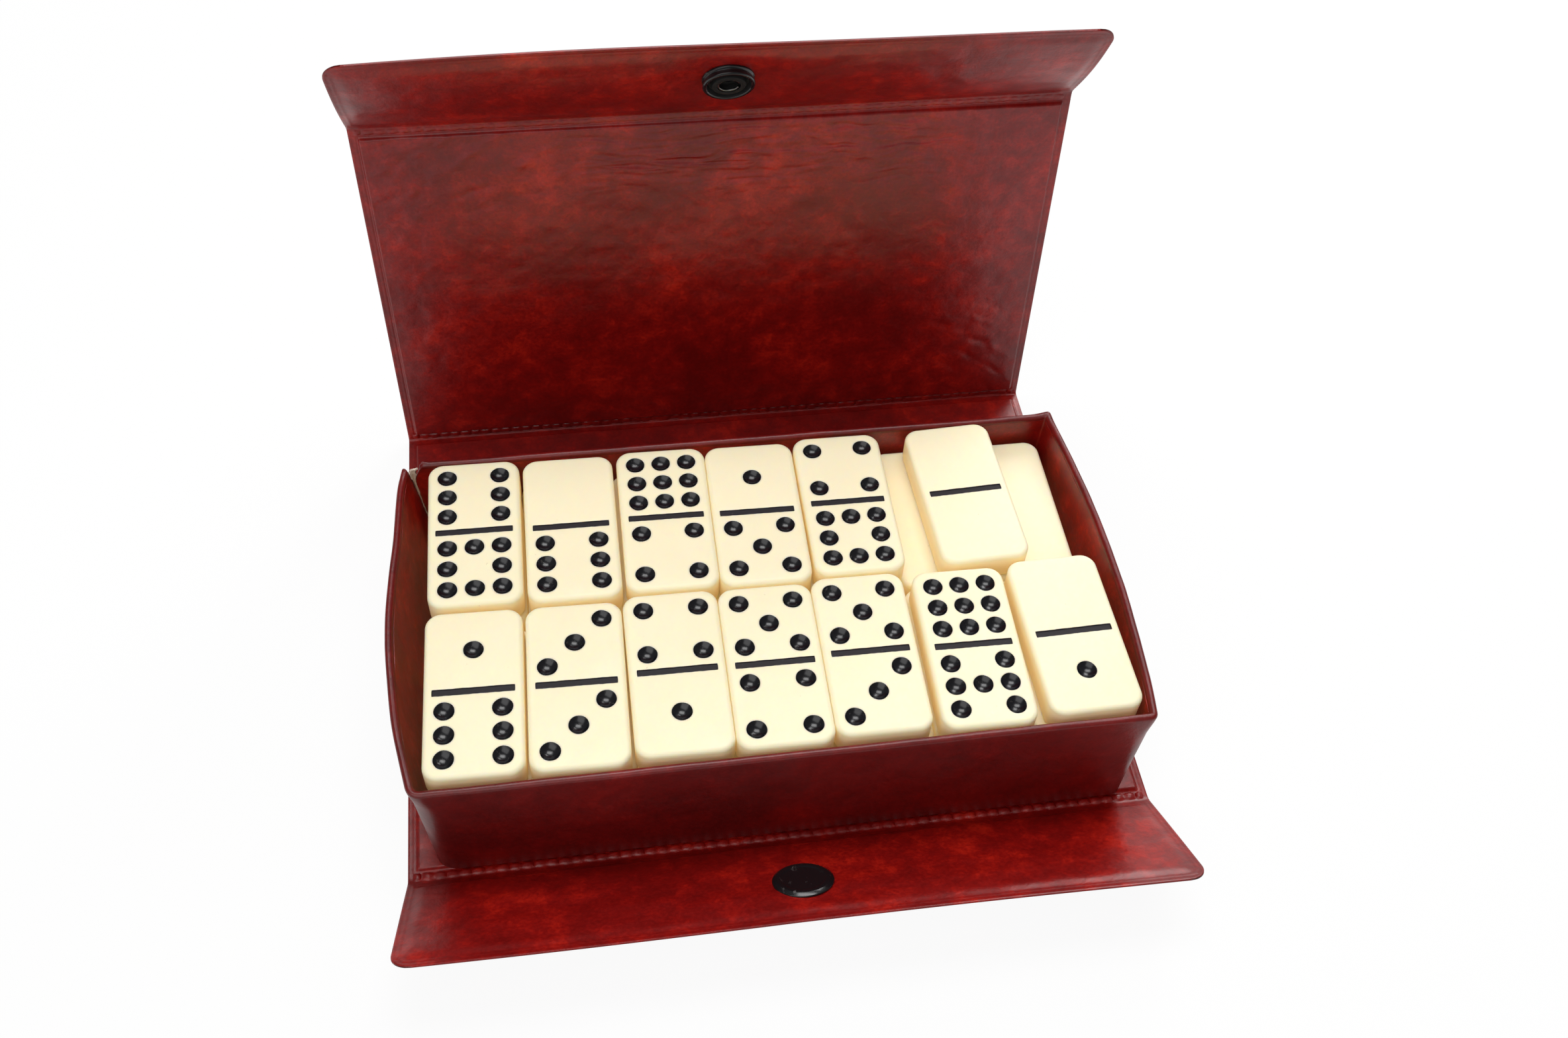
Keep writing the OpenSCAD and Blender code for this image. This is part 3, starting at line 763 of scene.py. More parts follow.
# %% [markdown]
# ## The tray's two sheets
# The rim isn't level: it stands a little higher behind, where the sheet was pulled over the board. A
# height is added to each loop by how near it is to the rim, so the foot stays flat on the base. The
# lining ends just under the rim, and its floor is a single large face.

# %% Rim line
SPLIT_SPREAD, NOTCH_DEPTH = 2.3, 5.5


def bump_at(x, y, at_x, at_y, reach):
    return np.exp(-((x - at_x) ** 2 + (y - at_y) ** 2) / reach ** 2)


def rim_lift(x, y):
    """How much higher than the board's plain edge the rim is."""
    rear = smooth((y + 10) / 55)
    lift = 0.4 * rear * smooth((95 - x) / 120) + 0.12 * rough_noise(x / 16, y / 16, 61)
    peak = bump_at(x, y, 88.6, 50.6, 3.0)
    tips = bump_at(x, y, -86.7, 50.6, 1.1) + 1.5 * bump_at(x, y, -90.9, 47.6, 1.6)
    notch = np.exp(-(np.hypot(x + 89.2, y - 50.0) / 2.0) ** 4)
    return lift + 0.8 * peak + 0.5 * tips - NOTCH_DEPTH * notch


def raise_loops(loops):
    x, y, z = loops[..., 0], loops[..., 1], loops[..., 2]
    near_rim = smooth((z - TRAY_Z - WALL_H + 14) / 13)
    out = loops.copy()
    leaning_out = smooth((50.4 - y) / 2.2) * smooth((y - 20) / 28) * smooth((-80 - x) / 4)
    out[..., 0] -= SPLIT_SPREAD * leaning_out * smooth((z - TRAY_Z) / WALL_H)
    out[..., 2] += rim_lift(out[..., 0], y) * near_rim
    return out


print("the rear rim stands", round(float(rim_lift(0.0, 50.0)), 2), "mm above the board's edge")

# %% Dents in the walls
def dent_loops(loops, seed, size):
    """Shallow waves, pushed toward or away from the middle of the tray."""
    x, y, z = loops[..., 0], loops[..., 1], loops[..., 2]
    wave = rough_noise((x + y) / 13, z / 11 + (x - y) / 60, seed) * smooth((z - TRAY_Z - 1) / 6)
    long_wall = smooth((np.abs(y) - 44) / 5)
    out = loops.copy()
    out[..., 1] += size * wave * long_wall * np.sign(y)
    out[..., 0] += size * wave * (1 - long_wall) * np.sign(x)
    return out

# %% The tray's two sheets
def tray_outer_sheet():
    top = WALL_H - 1
    arc = [(1 - math.cos(a), top + math.sin(a)) for a in np.linspace(0, math.pi, 13)]
    under = [(1 - 0.6 * math.cos(a), top + 0.6 * math.sin(a)) for a in np.linspace(math.pi, 0, 7)]
    walls = [(0, h) for h in np.linspace(0, top, 26)[:-1]]
    turned_in = [(2, top - 0.35), (1.6, top - 0.35)]
    profile = walls + arc + turned_in + under + [(0.4, h) for h in (25, 15, 7, 0)]
    loops = np.stack([tray_loop(d, h) for d, h in profile])
    loops = raise_loops(dent_loops(loops, 65, 0.10))
    loops[..., 2] = np.maximum(loops[..., 2], TRAY_Z)
    faces = bands(len(profile), LOOP, closed=True)
    return make("tray.outer_sheet", loops.reshape(-1, 3), faces, [shaded_outside_vinyl])


def tray_lining():
    floor, top = 1.65, WALL_H - 1.33
    heights = np.linspace(top, floor + 0.8, 34)
    profile = [(1.6, h) for h in (floor - 0.4, 8, 16, 25, top)] + [(2, h) for h in heights]
    profile += [(2 + 0.8 * (1 - math.cos(a)), floor + 0.8 * (1 - math.sin(a)))
                for a in np.linspace(0.4, math.pi / 2, 4)]
    loops = np.stack([tray_loop(d, h) for d, h in profile])
    loops = raise_loops(dent_loops(loops, 67, 0.14))
    faces = bands(len(profile), LOOP)
    last = (len(profile) - 1) * LOOP
    faces.append(tuple(range(last, last + LOOP)))
    faces.append(tuple(range(LOOP))[::-1])
    return make("tray.lining", loops.reshape(-1, 3), faces, [lit_inside_vinyl])


tray_pieces = {"tray_outer_skin": tray_outer_sheet(), "tray_lining": tray_lining()}
for node, obj in tray_pieces.items():
    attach(obj, "base")
    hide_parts(node)
    print(obj.name, "replaces", node, "with", len(obj.data.polygons), "faces")

# %% [markdown]
# ## Boards in the tray's walls
# The rounded corners leave no room for the square ends of plain boards, so each wall's board is made
# again from the same loops, between the two sheets. It runs round to the middle of the corner, as bent
# millboard does.

# %% Wall boards
BOARD_OUT, BOARD_IN_DEPTH, BOARD_TOP = 0.47, 1.53, WALL_H - 1.45
turn_points = CORNER_STEPS - 2
WALLS = {"tray_right_board": SHORT_STEPS, "tray_rear_board": LONG_STEPS, "tray_left_board": SHORT_STEPS,
         "tray_front_board": LONG_STEPS}


def wall_board(node, start, steps):
    reach = np.arange(start - turn_points // 2, start + steps + turn_points // 2) % LOOP
    heights = np.linspace(0.05, BOARD_TOP, 14)

    def side(depth):
        loops = raise_loops(dent_loops(np.stack([tray_loop(depth, h) for h in heights]), 65, 0.10))
        return loops[:, reach]

    points, faces = closed_sheet(side(BOARD_OUT), side(BOARD_IN_DEPTH))
    obj = make(node.replace("_", ".", 1), points, faces, [board_finish])
    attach(obj, "base")
    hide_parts(node)
    return obj


wall_start = 0
for node, steps in WALLS.items():
    print(wall_board(node, wall_start, steps).name)
    wall_start += steps + turn_points

# %% [markdown]
# ## The torn corner
# The left rear corner has split. The vinyl ends in two red tips, and the pale cloth that backs it shows
# between them and down the inside of the corner. The notch is in the rim line above. The cloth is a
# narrow ragged strip that follows the corner, with a fibrous finish.

# %% Backing cloth
def backing_cloth():
    look = Look("torn_backing")
    place = look.place()
    fibre = look.noise(place, 1500, 6, 0.75, 1.5)
    pit = look.noise(place, 600, 4, 0.6).step(0.6, 0.68)
    cloth = look.blend(fibre, (0.55, 0.43, 0.34), (0.88, 0.78, 0.66))
    colour = look.blend(pit * 0.8, cloth, (0.2, 0.03, 0.02))
    threads = look.bump(fibre, 0.8, 0.0004)
    return look.surface({"Base Color": colour, "Roughness": 0.95 - 0.1 * fibre, "Normal": threads})

# %% Torn strip
STRIP_REACH = 22


def torn_strip():
    middle = SHORT_STEPS + turn_points + LONG_STEPS + turn_points // 2
    reach = np.arange(middle - STRIP_REACH, middle + STRIP_REACH + 1)
    heights, across = np.linspace(WALL_H - 0.4, WALL_H - 22, 90), np.linspace(-1, 1, 15)
    share = (heights[0] - heights) / (heights[0] - heights[-1])
    width = 0.10 + 1.2 * np.clip(1 - share * 4.2, 0, 1) ** 1.3 + 0.26 * (1 - share)

    def side(depth, rough):
        rows = []
        for h, w, t in zip(heights, width, share):
            line = raise_loops(tray_loop(depth, h)[None])[0, reach]
            line[:, 2] = TRAY_Z + h
            paces = np.linalg.norm(np.diff(line[:, :2], axis=0), axis=1)
            along = np.concatenate([[0], np.cumsum(paces)])
            along -= along[STRIP_REACH]
            ragged = 1 + 0.35 * rough_noise(h / 0.9 + 0 * across, across * 1.5, 91)
            edge = w * across * ragged + 0.5 * t
            row = np.stack([np.interp(edge, along, line[:, k]) for k in range(3)], -1)
            row[:, 2] += rough * rough_noise(across * 3, h + 0 * across, 93)
            rows.append(row)
        return np.stack(rows)

    front = side(2.28, 0.35)
    front[..., :2] += 0.1 * rough_noise(front[..., 0] * 2, front[..., 2] * 2, 95)[..., None]
    points, faces = closed_sheet(side(1.75, 0.2)[:, ::-1], front[:, ::-1])
    obj = make("tray.torn_backing", points, faces, [backing_cloth()])
    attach(obj, "base")
    return obj


print(torn_strip().name, "fills the split corner")

# %% [markdown]
# ## Black lacquer and spring steel
# The press stud is stamped metal under a black lacquer. The lacquer is glossy, with a fine orange peel,
# and it is scuffed pale where things have rubbed on it. The spring inside the socket is bare wire. A
# noise stretched one way makes the scuffs, and a step on it keeps most of the cap clean.

# %% Lacquer and steel
def lacquer():
    look = Look("black_snap")
    place = look.place()
    stretched = look.stretch(place, (1, 0.35, 1))
    rub = look.noise(stretched, 420, 5, 0.7).step(0.60, 0.72)
    marks = look.noise(place, 1900, 3, 0.6)
    colour = look.blend(rub * 0.5 * marks, (0.006, 0.006, 0.007), (0.28, 0.25, 0.24))
    peel = look.bump(look.noise(place, 900, 2), 0.05, 0.0001)
    rough = 0.16 + 0.35 * rub + 0.08 * marks
    return look.surface({"Base Color": colour, "Roughness": rough, "Normal": peel})


def steel():
    look = Look("spring_steel")
    place = look.place()
    drawn = look.noise(place, 2500, 3)
    colour = look.blend(drawn, (0.12, 0.12, 0.12), (0.2, 0.2, 0.19))
    return look.surface({"Base Color": colour, "Roughness": 0.25 + 0.15 * drawn, "Metallic": 1.0})


def unpolished():
    look = Look("dull_black")
    place = look.place()
    dust = look.noise(place, 1200, 4, 0.6)
    return look.surface({"Base Color": look.blend(dust, (0.003, 0.003, 0.003), (0.012, 0.011, 0.011)),
                         "Roughness": 0.75 - 0.1 * dust, "Specular IOR Level": 0.25})


black_lacquer, spring_finish, dull_black = lacquer(), steel(), unpolished()
print("stud finishes:", black_lacquer.name, spring_finish.name, dull_black.name)

# %% [markdown]
# ## Turned pieces
# The caps, the stud and the socket are round, so each one is a profile turned about its axis. The
# corners of the profile are first rounded with small curves, because a real pressing has no sharp edge,
# and it is the rounding that catches the light.

# %% Softened corners
CURVE_STEPS, TURN_STEPS = 4, 72


def soften(profile, cut):
    """The closed profile with each corner off the axis cut to a curve."""
    out, count = [], len(profile)
    for i, here in enumerate(profile):
        here = np.array(here, float)
        before, after = np.array(profile[i - 1], float), np.array(profile[(i + 1) % count], float)
        if here[0] <= 0:
            out.append(here)
            continue
        ends = []
        for other in (before, after):
            reach = np.linalg.norm(other - here)
            ends.append(here + (other - here) * min(cut, 0.42 * reach) / reach)
        for t in np.linspace(0, 1, CURVE_STEPS):
            out.append((1 - t) ** 2 * ends[0] + 2 * t * (1 - t) * here + t * t * ends[1])
    return out


print("a square of 4 corners softens to", len(soften([(1, 0), (2, 0), (2, 1), (1, 1)], 0.1)), "points")

# %% Turning a profile
def turned(name, panel_name, s, z, profile, up=1, cut=0.12, dull_within=0.0):
    """Turns a profile of (radius, height) about the panel's normal at s. up is -1 on the outer face."""
    angles = np.arange(TURN_STEPS) * 2 * math.pi / TURN_STEPS
    points, rings = [], []
    for radius, height in soften(profile, cut):
        start = len(points)
        if radius <= 0:
            points.append((0, 0, height))
            rings.append([start] * TURN_STEPS)
        else:
            points += [(radius * math.cos(a), radius * math.sin(a), height) for a in angles]
            rings.append(list(range(start, start + TURN_STEPS)))
    faces, which = [], []
    for a, b in zip(rings, rings[1:] + rings[:1]):
        reach = max(math.hypot(*points[a[0]][:2]), math.hypot(*points[b[0]][:2]))
        for i in range(TURN_STEPS):
            k = (i + 1) % TURN_STEPS
            face = list(dict.fromkeys([a[i], a[k], b[k], b[i]]))
            if len(face) > 2:
                faces.append(tuple(face[::up]))
                which.append(1 if reach < dull_within else 0)
    local = np.array(points, float)
    placed = PANELS[panel_name].place(local[:, 0], s + local[:, 1], z + up * local[:, 2])
    obj = make(name, placed, faces, [black_lacquer, dull_black], which)
    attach(obj, panel_name)
    return obj

# %% [markdown]
# ## The press stud
# The stud's cap shows on the inner face of the front flap, and the socket on the inner face of the
# lid's flap. The other two pieces are behind them, held by the caps' rivet posts. The spring is a split
# ring of wire in the socket's groove, so it is a bent tube and not a turned piece.

# %% Caps, stud, socket
CAP_R, CAP_T, POST_R, BORE_R = 7.5, 1.0, 1.4, 1.5
SOCKET_R, SOCKET_H, MOUTH_R, GROOVE_R, GROOVE_Z, GROOVE_H = 6.6, 2.5, 2.9, 3.6, 1.45, 0.8


def cap_profile(post):
    return [(0, -post), (POST_R, -post), (POST_R, 0), (CAP_R, 0), (CAP_R, 0.4), (CAP_R - 0.95, CAP_T),
            (CAP_R - 1.9, CAP_T), (CAP_R - 2.5, 0.8), (0, 0.8)]


stud_profile = [(BORE_R, 0), (5, 0), (5, 0.3), (4.6, 0.5), (2.1, 0.5), (2.1, 1.45), (2.5, 1.8), (2.5, 2.3),
                (2, 2.65), (0, 2.65), (0, 1.85), (BORE_R, 1.85)]
wall = [(BORE_R, 0), (SOCKET_R, 0), (SOCKET_R, 0.5), (SOCKET_R - 0.5, 0.8), (SOCKET_R - 0.5, 1.5),
        (SOCKET_R, 1.8), (SOCKET_R, 2.2), (SOCKET_R - 0.3, SOCKET_H), (SOCKET_R - 0.8, SOCKET_H)]
dish = [(5.5, 2.2), (5.2, 1.0), (4.5, 1.0), (4.2, 2.2), (3.9, 2.4), (3.1, 2.4), (MOUTH_R, 2.3)]
groove = [(MOUTH_R, GROOVE_Z + GROOVE_H), (GROOVE_R, GROOVE_Z + GROOVE_H), (GROOVE_R, GROOVE_Z),
          (MOUTH_R, GROOVE_Z), (MOUTH_R, 0.4), (BORE_R, 0.4)]
socket_profile = wall + dish + groove
snap_pieces = {
    "stud_cap": turned("stud.cap", "front_flap", STUD_S, CARD_IN, cap_profile(2.425)),
    "snap_stud": turned("stud", "front_flap", STUD_S, OUTER, stud_profile, up=-1),
    "socket_cap": turned("socket.cap", "lid_flap", SOCKET_S, OUTER, cap_profile(1.7), up=-1),
    "snap_socket": turned("socket", "lid_flap", SOCKET_S, CARD_IN, socket_profile, cut=0.1,
                          dull_within=5.7),
}
for node, obj in snap_pieces.items():
    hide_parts(node)
    print(obj.name, "has", len(obj.data.polygons), "faces")

# %% Spring
SPRING_R, WIRE_R, SPRING_Z, WIRE_SIDES = 2.7, 0.3, 1.85, 12


def spring_ring():
    points = []
    for a in np.radians(np.linspace(20, 340, TURN_STEPS)):
        for b in np.arange(WIRE_SIDES) * 2 * math.pi / WIRE_SIDES:
            r = SPRING_R + WIRE_R * math.cos(b)
            points.append((r * math.cos(a), r * math.sin(a), WIRE_R * math.sin(b)))
    faces = [face[::-1] for face in bands(TURN_STEPS, WIRE_SIDES)]
    faces.append(tuple(range(WIRE_SIDES)))
    faces.append(tuple(range(len(points) - WIRE_SIDES, len(points)))[::-1])
    local = np.array(points)
    x, s, z = local[:, 0], SOCKET_S + local[:, 1], CARD_IN + SPRING_Z + local[:, 2]
    placed = PANELS["lid_flap"].place(x, s, z)
    obj = make("socket.spring", placed, faces, [spring_finish])
    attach(obj, "lid_flap")
    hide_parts("socket_spring")
    return obj


print(spring_ring().name, "sits in the socket's groove")

# %% [markdown]
# ## Cast resin dominoes
# The dominoes are cast in an ivory resin and tumbled, so their edges are soft. Light through the resin
# is painted in: a blend by height paints the sides honey coloured and gives them a faint amber glow,
# because each domino's own flat coordinates start at its underside. The pips are drilled and filled
# with black enamel, which leaves a glossy hollow with a faint grey rim.

# %% Resin
TILE_L, TILE_W, TILE_T, TILE_CORNER = 47.0, 24.0, 8.5, 4.0


def resin():
    look = Look("ivory_resin")
    local = look.stored("flat")
    height = look.add("ShaderNodeSeparateXYZ", {}, {0: local})["Z"]
    place = look.place()
    cloud = look.noise(place, 60, 4, 0.6)
    top = look.blend(cloud, (0.905, 0.815, 0.565), (0.935, 0.85, 0.61))
    # The honey colour of the sides is painted light, standing in for light through the resin.
    side = look.blend(cloud, (0.80, 0.62, 0.31), (0.87, 0.72, 0.42))
    colour = look.blend((height + 0.0012 * cloud).step(0.0035, 0.0088), side, top)
    # glow is a painted glow: an amber emission on the sides below the top, standing in for light through
    # the resin.
    glow = look.blend((height + 0.0006 * cloud).step(0.0068, 0.0086), (0.80, 0.55, 0.22), (0, 0, 0))
    speck = look.noise(place, 480, 3, 0.6).step(0.72, 0.76)
    colour = look.blend(speck * 0.35, colour, (0.55, 0.40, 0.22))
    halo = look.stored("halo", "Fac")
    colour = look.blend(halo * 0.45, colour, (0.42, 0.43, 0.42))
    wear = look.bump(look.noise(place, 700, 4, 0.6), 0.04, 0.0002)
    rough = 0.36 + 0.2 * look.noise(place, 150, 4)
    # The emission paints light: the faint amber glow on the dominoes' sides.
    return look.surface({"Base Color": colour, "Roughness": rough, "Normal": wear, "Emission Color": glow,
                         "Emission Strength": 0.12, "Subsurface Weight": 0.6,
                         "Subsurface Radius": (1.0, 0.72, 0.35), "Subsurface Scale": 0.0035})

# %% Enamel
def enamel(name, colour, shine, glint=0.5):
    look = Look(name)
    place = look.place()
    scuff = look.noise(place, 700, 4, 0.7).step(0.60, 0.75)
    shade = look.blend(scuff * 0.2, colour, (0.20, 0.17, 0.15))
    rough = shine + 0.3 * scuff
    return look.surface({"Base Color": shade, "Roughness": rough, "Specular IOR Level": glint})


resin_painted_glow_finish = resin()
pip_finish = enamel("pip_enamel", (0.004, 0.004, 0.006), 0.24)
bar_finish = enamel("bar_enamel", (0.020, 0.017, 0.020), 0.45, 0.15)
print("domino finishes:", resin_painted_glow_finish.name, pip_finish.name, bar_finish.name)

# %% [markdown]
# ## A domino's blank
# A blank is a stack of outlines. The outline is a rounded rectangle, and the outlines near the top and
# the bottom step inward on a quarter circle, which gives the tumbled edge. The lower layers are only
# blanks, packed face down.

# %% Outlines and fillets
TOP_FILLET, LOW_FILLET = 1.3, 1.2
CORNER_POINTS, SIDE_POINTS = 9, 5


def tile_outline(inset):
    """Points round a blank at some distance inside its widest outline."""
    r = max(TILE_CORNER - inset, 0.4)
    centre = np.array([TILE_W / 2 - inset - r, TILE_L / 2 - inset - r])
    arcs = []
    for i, signs in enumerate([(1, 1), (-1, 1), (-1, -1), (1, -1)]):
        angles = math.pi / 2 * (i + np.linspace(0, 1, CORNER_POINTS))
        arcs.append(centre * signs + r * np.stack([np.cos(angles), np.sin(angles)], -1))
    t = np.linspace(0, 1, SIDE_POINTS + 2)[1:-1, None]
    sides = [a[-1] * (1 - t) + b[0] * t for a, b in zip(arcs, arcs[1:] + arcs[:1])]
    return np.concatenate([part for pair in zip(arcs, sides) for part in pair])


def blank_rings(top_fillet, bottom_fillet, steps=6):
    rings = []
    for a in np.linspace(0, math.pi / 2, steps):
        rings.append((bottom_fillet * (1 - math.sin(a)), bottom_fillet * (1 - math.cos(a))))
    for a in np.linspace(0, math.pi / 2, steps + 1):
        rings.append((top_fillet * (1 - math.cos(a)), TILE_T - top_fillet * (1 - math.sin(a))))
    points = [np.insert(tile_outline(inset), 2, z, axis=1) for inset, z in rings]
    count = len(points[0])
    faces = bands(len(rings), count)
    faces.append(tuple(range(count))[::-1])
    return np.concatenate(points), faces, count


print("points round a blank:", len(tile_outline(0)))

# %% Three layers of blanks
PITCH_X, PITCH_Y, FLOOR_Z = 24.3, 47.3, 3.45
random = np.random.default_rng(11)


def tile_centre(column, row, below, dx, dy):
    """The middle of a domino's underside, with a count of layers below it."""
    return ((column - 3) * PITCH_X + dx, (row - 0.5) * PITCH_Y + dy, FLOOR_Z + below * TILE_T)


def tile_layer(number):
    shape, faces, count = blank_rings(1.3, LOW_FILLET, 4)
    faces = faces + [tuple(range(len(shape) - count, len(shape)))]
    points, all_faces, local = [], [], []
    for column in range(7):
        for row in range(2):
            dx, dy = random.uniform(-0.08, 0.08, 2)
            start = len(points) * len(shape)
            points.append(shape + tile_centre(column, row, number - 1, dx, dy))
            local.append(shape)
            all_faces += [tuple(v + start for v in f) for f in faces]
    obj = make(f"tiles.layer_{number}", np.concatenate(points), all_faces, [resin_painted_glow_finish],
               flat=np.concatenate(local))
    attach(obj, f"tile_layer_{number}")
    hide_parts(f"tile_layer_{number}")
    return obj


print("layers:", [len(tile_layer(n).data.polygons) for n in (1, 2, 3)], "faces")

# %% [markdown]
# ## The faces with pips
# The top face has round hollows and a bar across it. A boolean cut would leave poor edges, and these
# edges are what the eye sees. So the flat part is a net of triangles between the outline, a ring round
# each hollow, and a ragged line round the bar. Each hollow is then a few rings that roll over a small
# lip into a ball's shape.

# %% Layout of the pips
COLUMN_STEP, ROW_STEP, PIP_R, PIP_DEPTH = 6.9, 6.55, 2.5, 1.3
BAR_L, BAR_W, BAR_DEPTH = 19.8, 1.8, 0.3
MIDDLE, SLANT = [(0, 0)], [(1, 1), (-1, -1)]
CORNERS = SLANT + [(-1, 1), (1, -1)]
SIDES, ENDS = [(-1, 0), (1, 0)], [(0, 1), (0, -1)]
EVEN = [[], SLANT, CORNERS, CORNERS + SIDES, CORNERS + SIDES + ENDS]
PIPS = [pips for even in EVEN for pips in (even, even + MIDDLE)]
SEGMENTS = 28


def pip_places(upper, lower):
    return [(px * COLUMN_STEP, half * TILE_L / 4 + py * ROW_STEP)
            for half, number in ((1, upper), (-1, lower)) for px, py in PIPS[number]]


print("pips on a double nine:", len(pip_places(9, 9)))

# %% Rings of a pip and of the bar
BALL_R = (PIP_R ** 2 + PIP_DEPTH ** 2) / (2 * PIP_DEPTH)
NET_R = 3.1
# radius, height and 1 for enamel of each ring, from the flat face down into the hollow
PIP_RINGS = [(NET_R, 0.0, 0), (2.8, 0.0, 0), (PIP_R + 0.12, -0.012, 0), (PIP_R + 0.02, -0.06, 0)]
PIP_RINGS += [(r, -(math.sqrt(BALL_R ** 2 - r ** 2) - (BALL_R - PIP_DEPTH)) - 0.04, 1)
              for r in (2.4, 2.1, 1.6, 1.0, 0.45)]
PIP_FADE = [0.0, 0.35, 0.9, 1.0] + [1.0] * 5
# how far each line round the bar stands out, how much it wavers, and its height
BAR_RINGS = [(0.25, 0.0, 0), (0.03, 0.045, -0.02), (-0.03, 0.045, -0.08), (-0.12, 0.03, -BAR_DEPTH)]


def bar_outline(grow, rough):
    """Points round the bar, with a wavering edge."""
    half_l, half_w = BAR_L / 2 + grow, BAR_W / 2 + grow
    xs = np.linspace(-half_l + 0.2, half_l - 0.2, 44)
    upper = np.stack([xs, half_w + rough * rough_noise(xs / 0.9, xs * 0, 81)], -1)
    lower = np.stack([xs[::-1], -half_w + rough * rough_noise(xs[::-1] / 0.9, xs * 0, 83)], -1)
    right_end = [(half_l - 0.05, half_w - 0.05), (half_l, 0.4), (half_l, -0.4),
                 (half_l - 0.05, 0.05 - half_w)]
    left_end = [(-a, -b) for a, b in right_end]
    return np.concatenate([upper, right_end, lower, left_end])[::-1]

# %% Rings as faces
def add_rings(points, faces, which, halo, rings, materials, fade):
    """Joins rings of points that lie one inside the other, closes the last, and lists the first."""
    count, start = len(rings[0]), len(points)
    for ring, value in zip(rings, fade):
        points.extend(map(tuple, ring))
        halo.extend([value] * count)
    faces.extend(tuple(v + start for v in face) for face in bands(len(rings), count))
    which.extend(np.repeat(materials[:-1], count).tolist())
    faces.append(tuple(range(len(points) - count, len(points))))
    which.append(materials[-1])
    return list(range(start, start + count))

# %% Net of the flat face
def add_face_net(points, faces, which, rim_loops, holes):
    """Fills the flat top between the outline and the rings with triangles."""
    names = [i for loop in rim_loops for i in loop]
    flat = [Vector(points[i][:2]) for i in names]
    edges, start = [], 0
    for loop in rim_loops:
        edges += [(start + i, start + (i + 1) % len(loop)) for i in range(len(loop))]
        start += len(loop)
    _, _, triangles, _, _, _ = delaunay_2d_cdt(flat, edges, [], 1, 1e-5)
    for triangle in triangles:
        centre = sum((flat[i] for i in triangle), Vector((0, 0))) / 3
        in_hole = any(math.hypot(centre.x - hx, centre.y - hy) < NET_R - 0.05 for hx, hy in holes)
        in_bar = abs(centre.x) < BAR_L / 2 + 0.24 and abs(centre.y) < BAR_W / 2 + 0.24
        if in_hole or in_bar:
            continue
        a, b, c = (flat[i] for i in triangle)
        turned_left = (b - a).cross(c - a) > 0
        order = triangle if turned_left else triangle[::-1]
        faces.append(tuple(names[i] for i in order))
        which.append(0)

# %% One domino
def domino(name, place, turn, upper, lower, seed):
    shape, faces, count = blank_rings(TOP_FILLET, LOW_FILLET)
    points, which, halo = list(map(tuple, shape)), [0] * len(faces), [0.0] * len(shape)
    outline = list(range(len(shape) - count, len(shape)))
    rim_loops = [outline]
    shake = np.random.default_rng(seed)
    holes = pip_places(upper, lower)
    for cx, cy in holes:
        a = np.arange(SEGMENTS) * 2 * math.pi / SEGMENTS
        wobble = 0.03 * np.sin(a * 2 + shake.uniform(0, 6)) + 0.02 * np.sin(a * 5 + shake.uniform(0, 6))
        rings = []
        for r, z, inner in PIP_RINGS:
            radius = r + (wobble if 2.2 < r < 2.75 else 0)
            x, y = cx + radius * np.cos(a), cy + radius * np.sin(a)
            rings.append(np.column_stack([x, y, 0 * a + TILE_T + z]))
        materials = [inner for _, _, inner in PIP_RINGS[1:]] + [1]
        rim_loops.append(add_rings(points, faces, which, halo, rings, materials, PIP_FADE))
    rings = [np.insert(bar_outline(grow, rough), 2, TILE_T + z, axis=1) for grow, rough, z in BAR_RINGS]
    rim_loops.append(add_rings(points, faces, which, halo, rings, [0, 2, 2, 2], [0.0, 0.6, 1.0, 1.0]))
    add_face_net(points, faces, which, rim_loops, holes)
    local = np.array(points)
    c, s = math.cos(turn), math.sin(turn)
    x, y, z = local.T
    moved = np.column_stack([c * x - s * y, s * x + c * y, z]) + place
    obj = make(name, moved, faces, [resin_painted_glow_finish, pip_finish, bar_finish], which, local)
    stored = obj.data.attributes.new("halo", "FLOAT", "POINT")
    stored.data.foreach_set("value", halo)
    return obj

# %% [markdown]
# ## The top layer
# Each domino stands a little askew in its place, as the photograph shows it, and one lies loose over
# two empty places. The list gives column and row, how far it has slipped, how far its rear end stands
# to the left, and its two numbers.

# %% Place the top layer
TOP_TILES = [
    ("tile_1_6", 0, 0, -1.4, -0.12, -0.56, 1, 6), ("tile_3_3", 1, 0, -1.05, -0.82, -0.54, 3, 3),
    ("tile_4_1", 2, 0, -0.8, -0.06, -0.24, 4, 1), ("tile_5_4", 3, 0, -1.03, -0.64, -0.24, 5, 4),
    ("tile_5_3", 4, 0, -1.27, 0.05, -0.24, 5, 3), ("tile_9_7", 5, 0, 0.52, -1.03, -0.41, 9, 7),
    ("tile_0_1", 6, 0, 2.53, 0.05, 0.43, 0, 1), ("tile_6_8", 0, 1, -0.05, 1.2, -0.32, 6, 8),
    ("tile_0_6", 1, 1, 0.58, 0.22, -0.28, 0, 6), ("tile_9_4", 2, 1, 1.26, 0.52, -0.39, 9, 4),
    ("tile_1_5", 3, 1, 1.02, -0.28, -0.39, 1, 5), ("tile_4_8", 4, 1, 1.32, 0.42, -0.23, 4, 8),
    ("tile_0_0", 5, 1, 9.5, 0.7, 0.94, 0, 0),
]

for number, (name, column, row, dx, dy, skew, upper, lower) in enumerate(TOP_TILES):
    centre, turn = tile_centre(column, row, 3, dx, dy), math.asin(2 * skew / TILE_L)
    obj = domino(name.replace("tile_", "domino."), centre, turn, upper, lower, number)
    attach(obj, name)
    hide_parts(name)
print("the last domino has", len(obj.data.polygons), "faces")

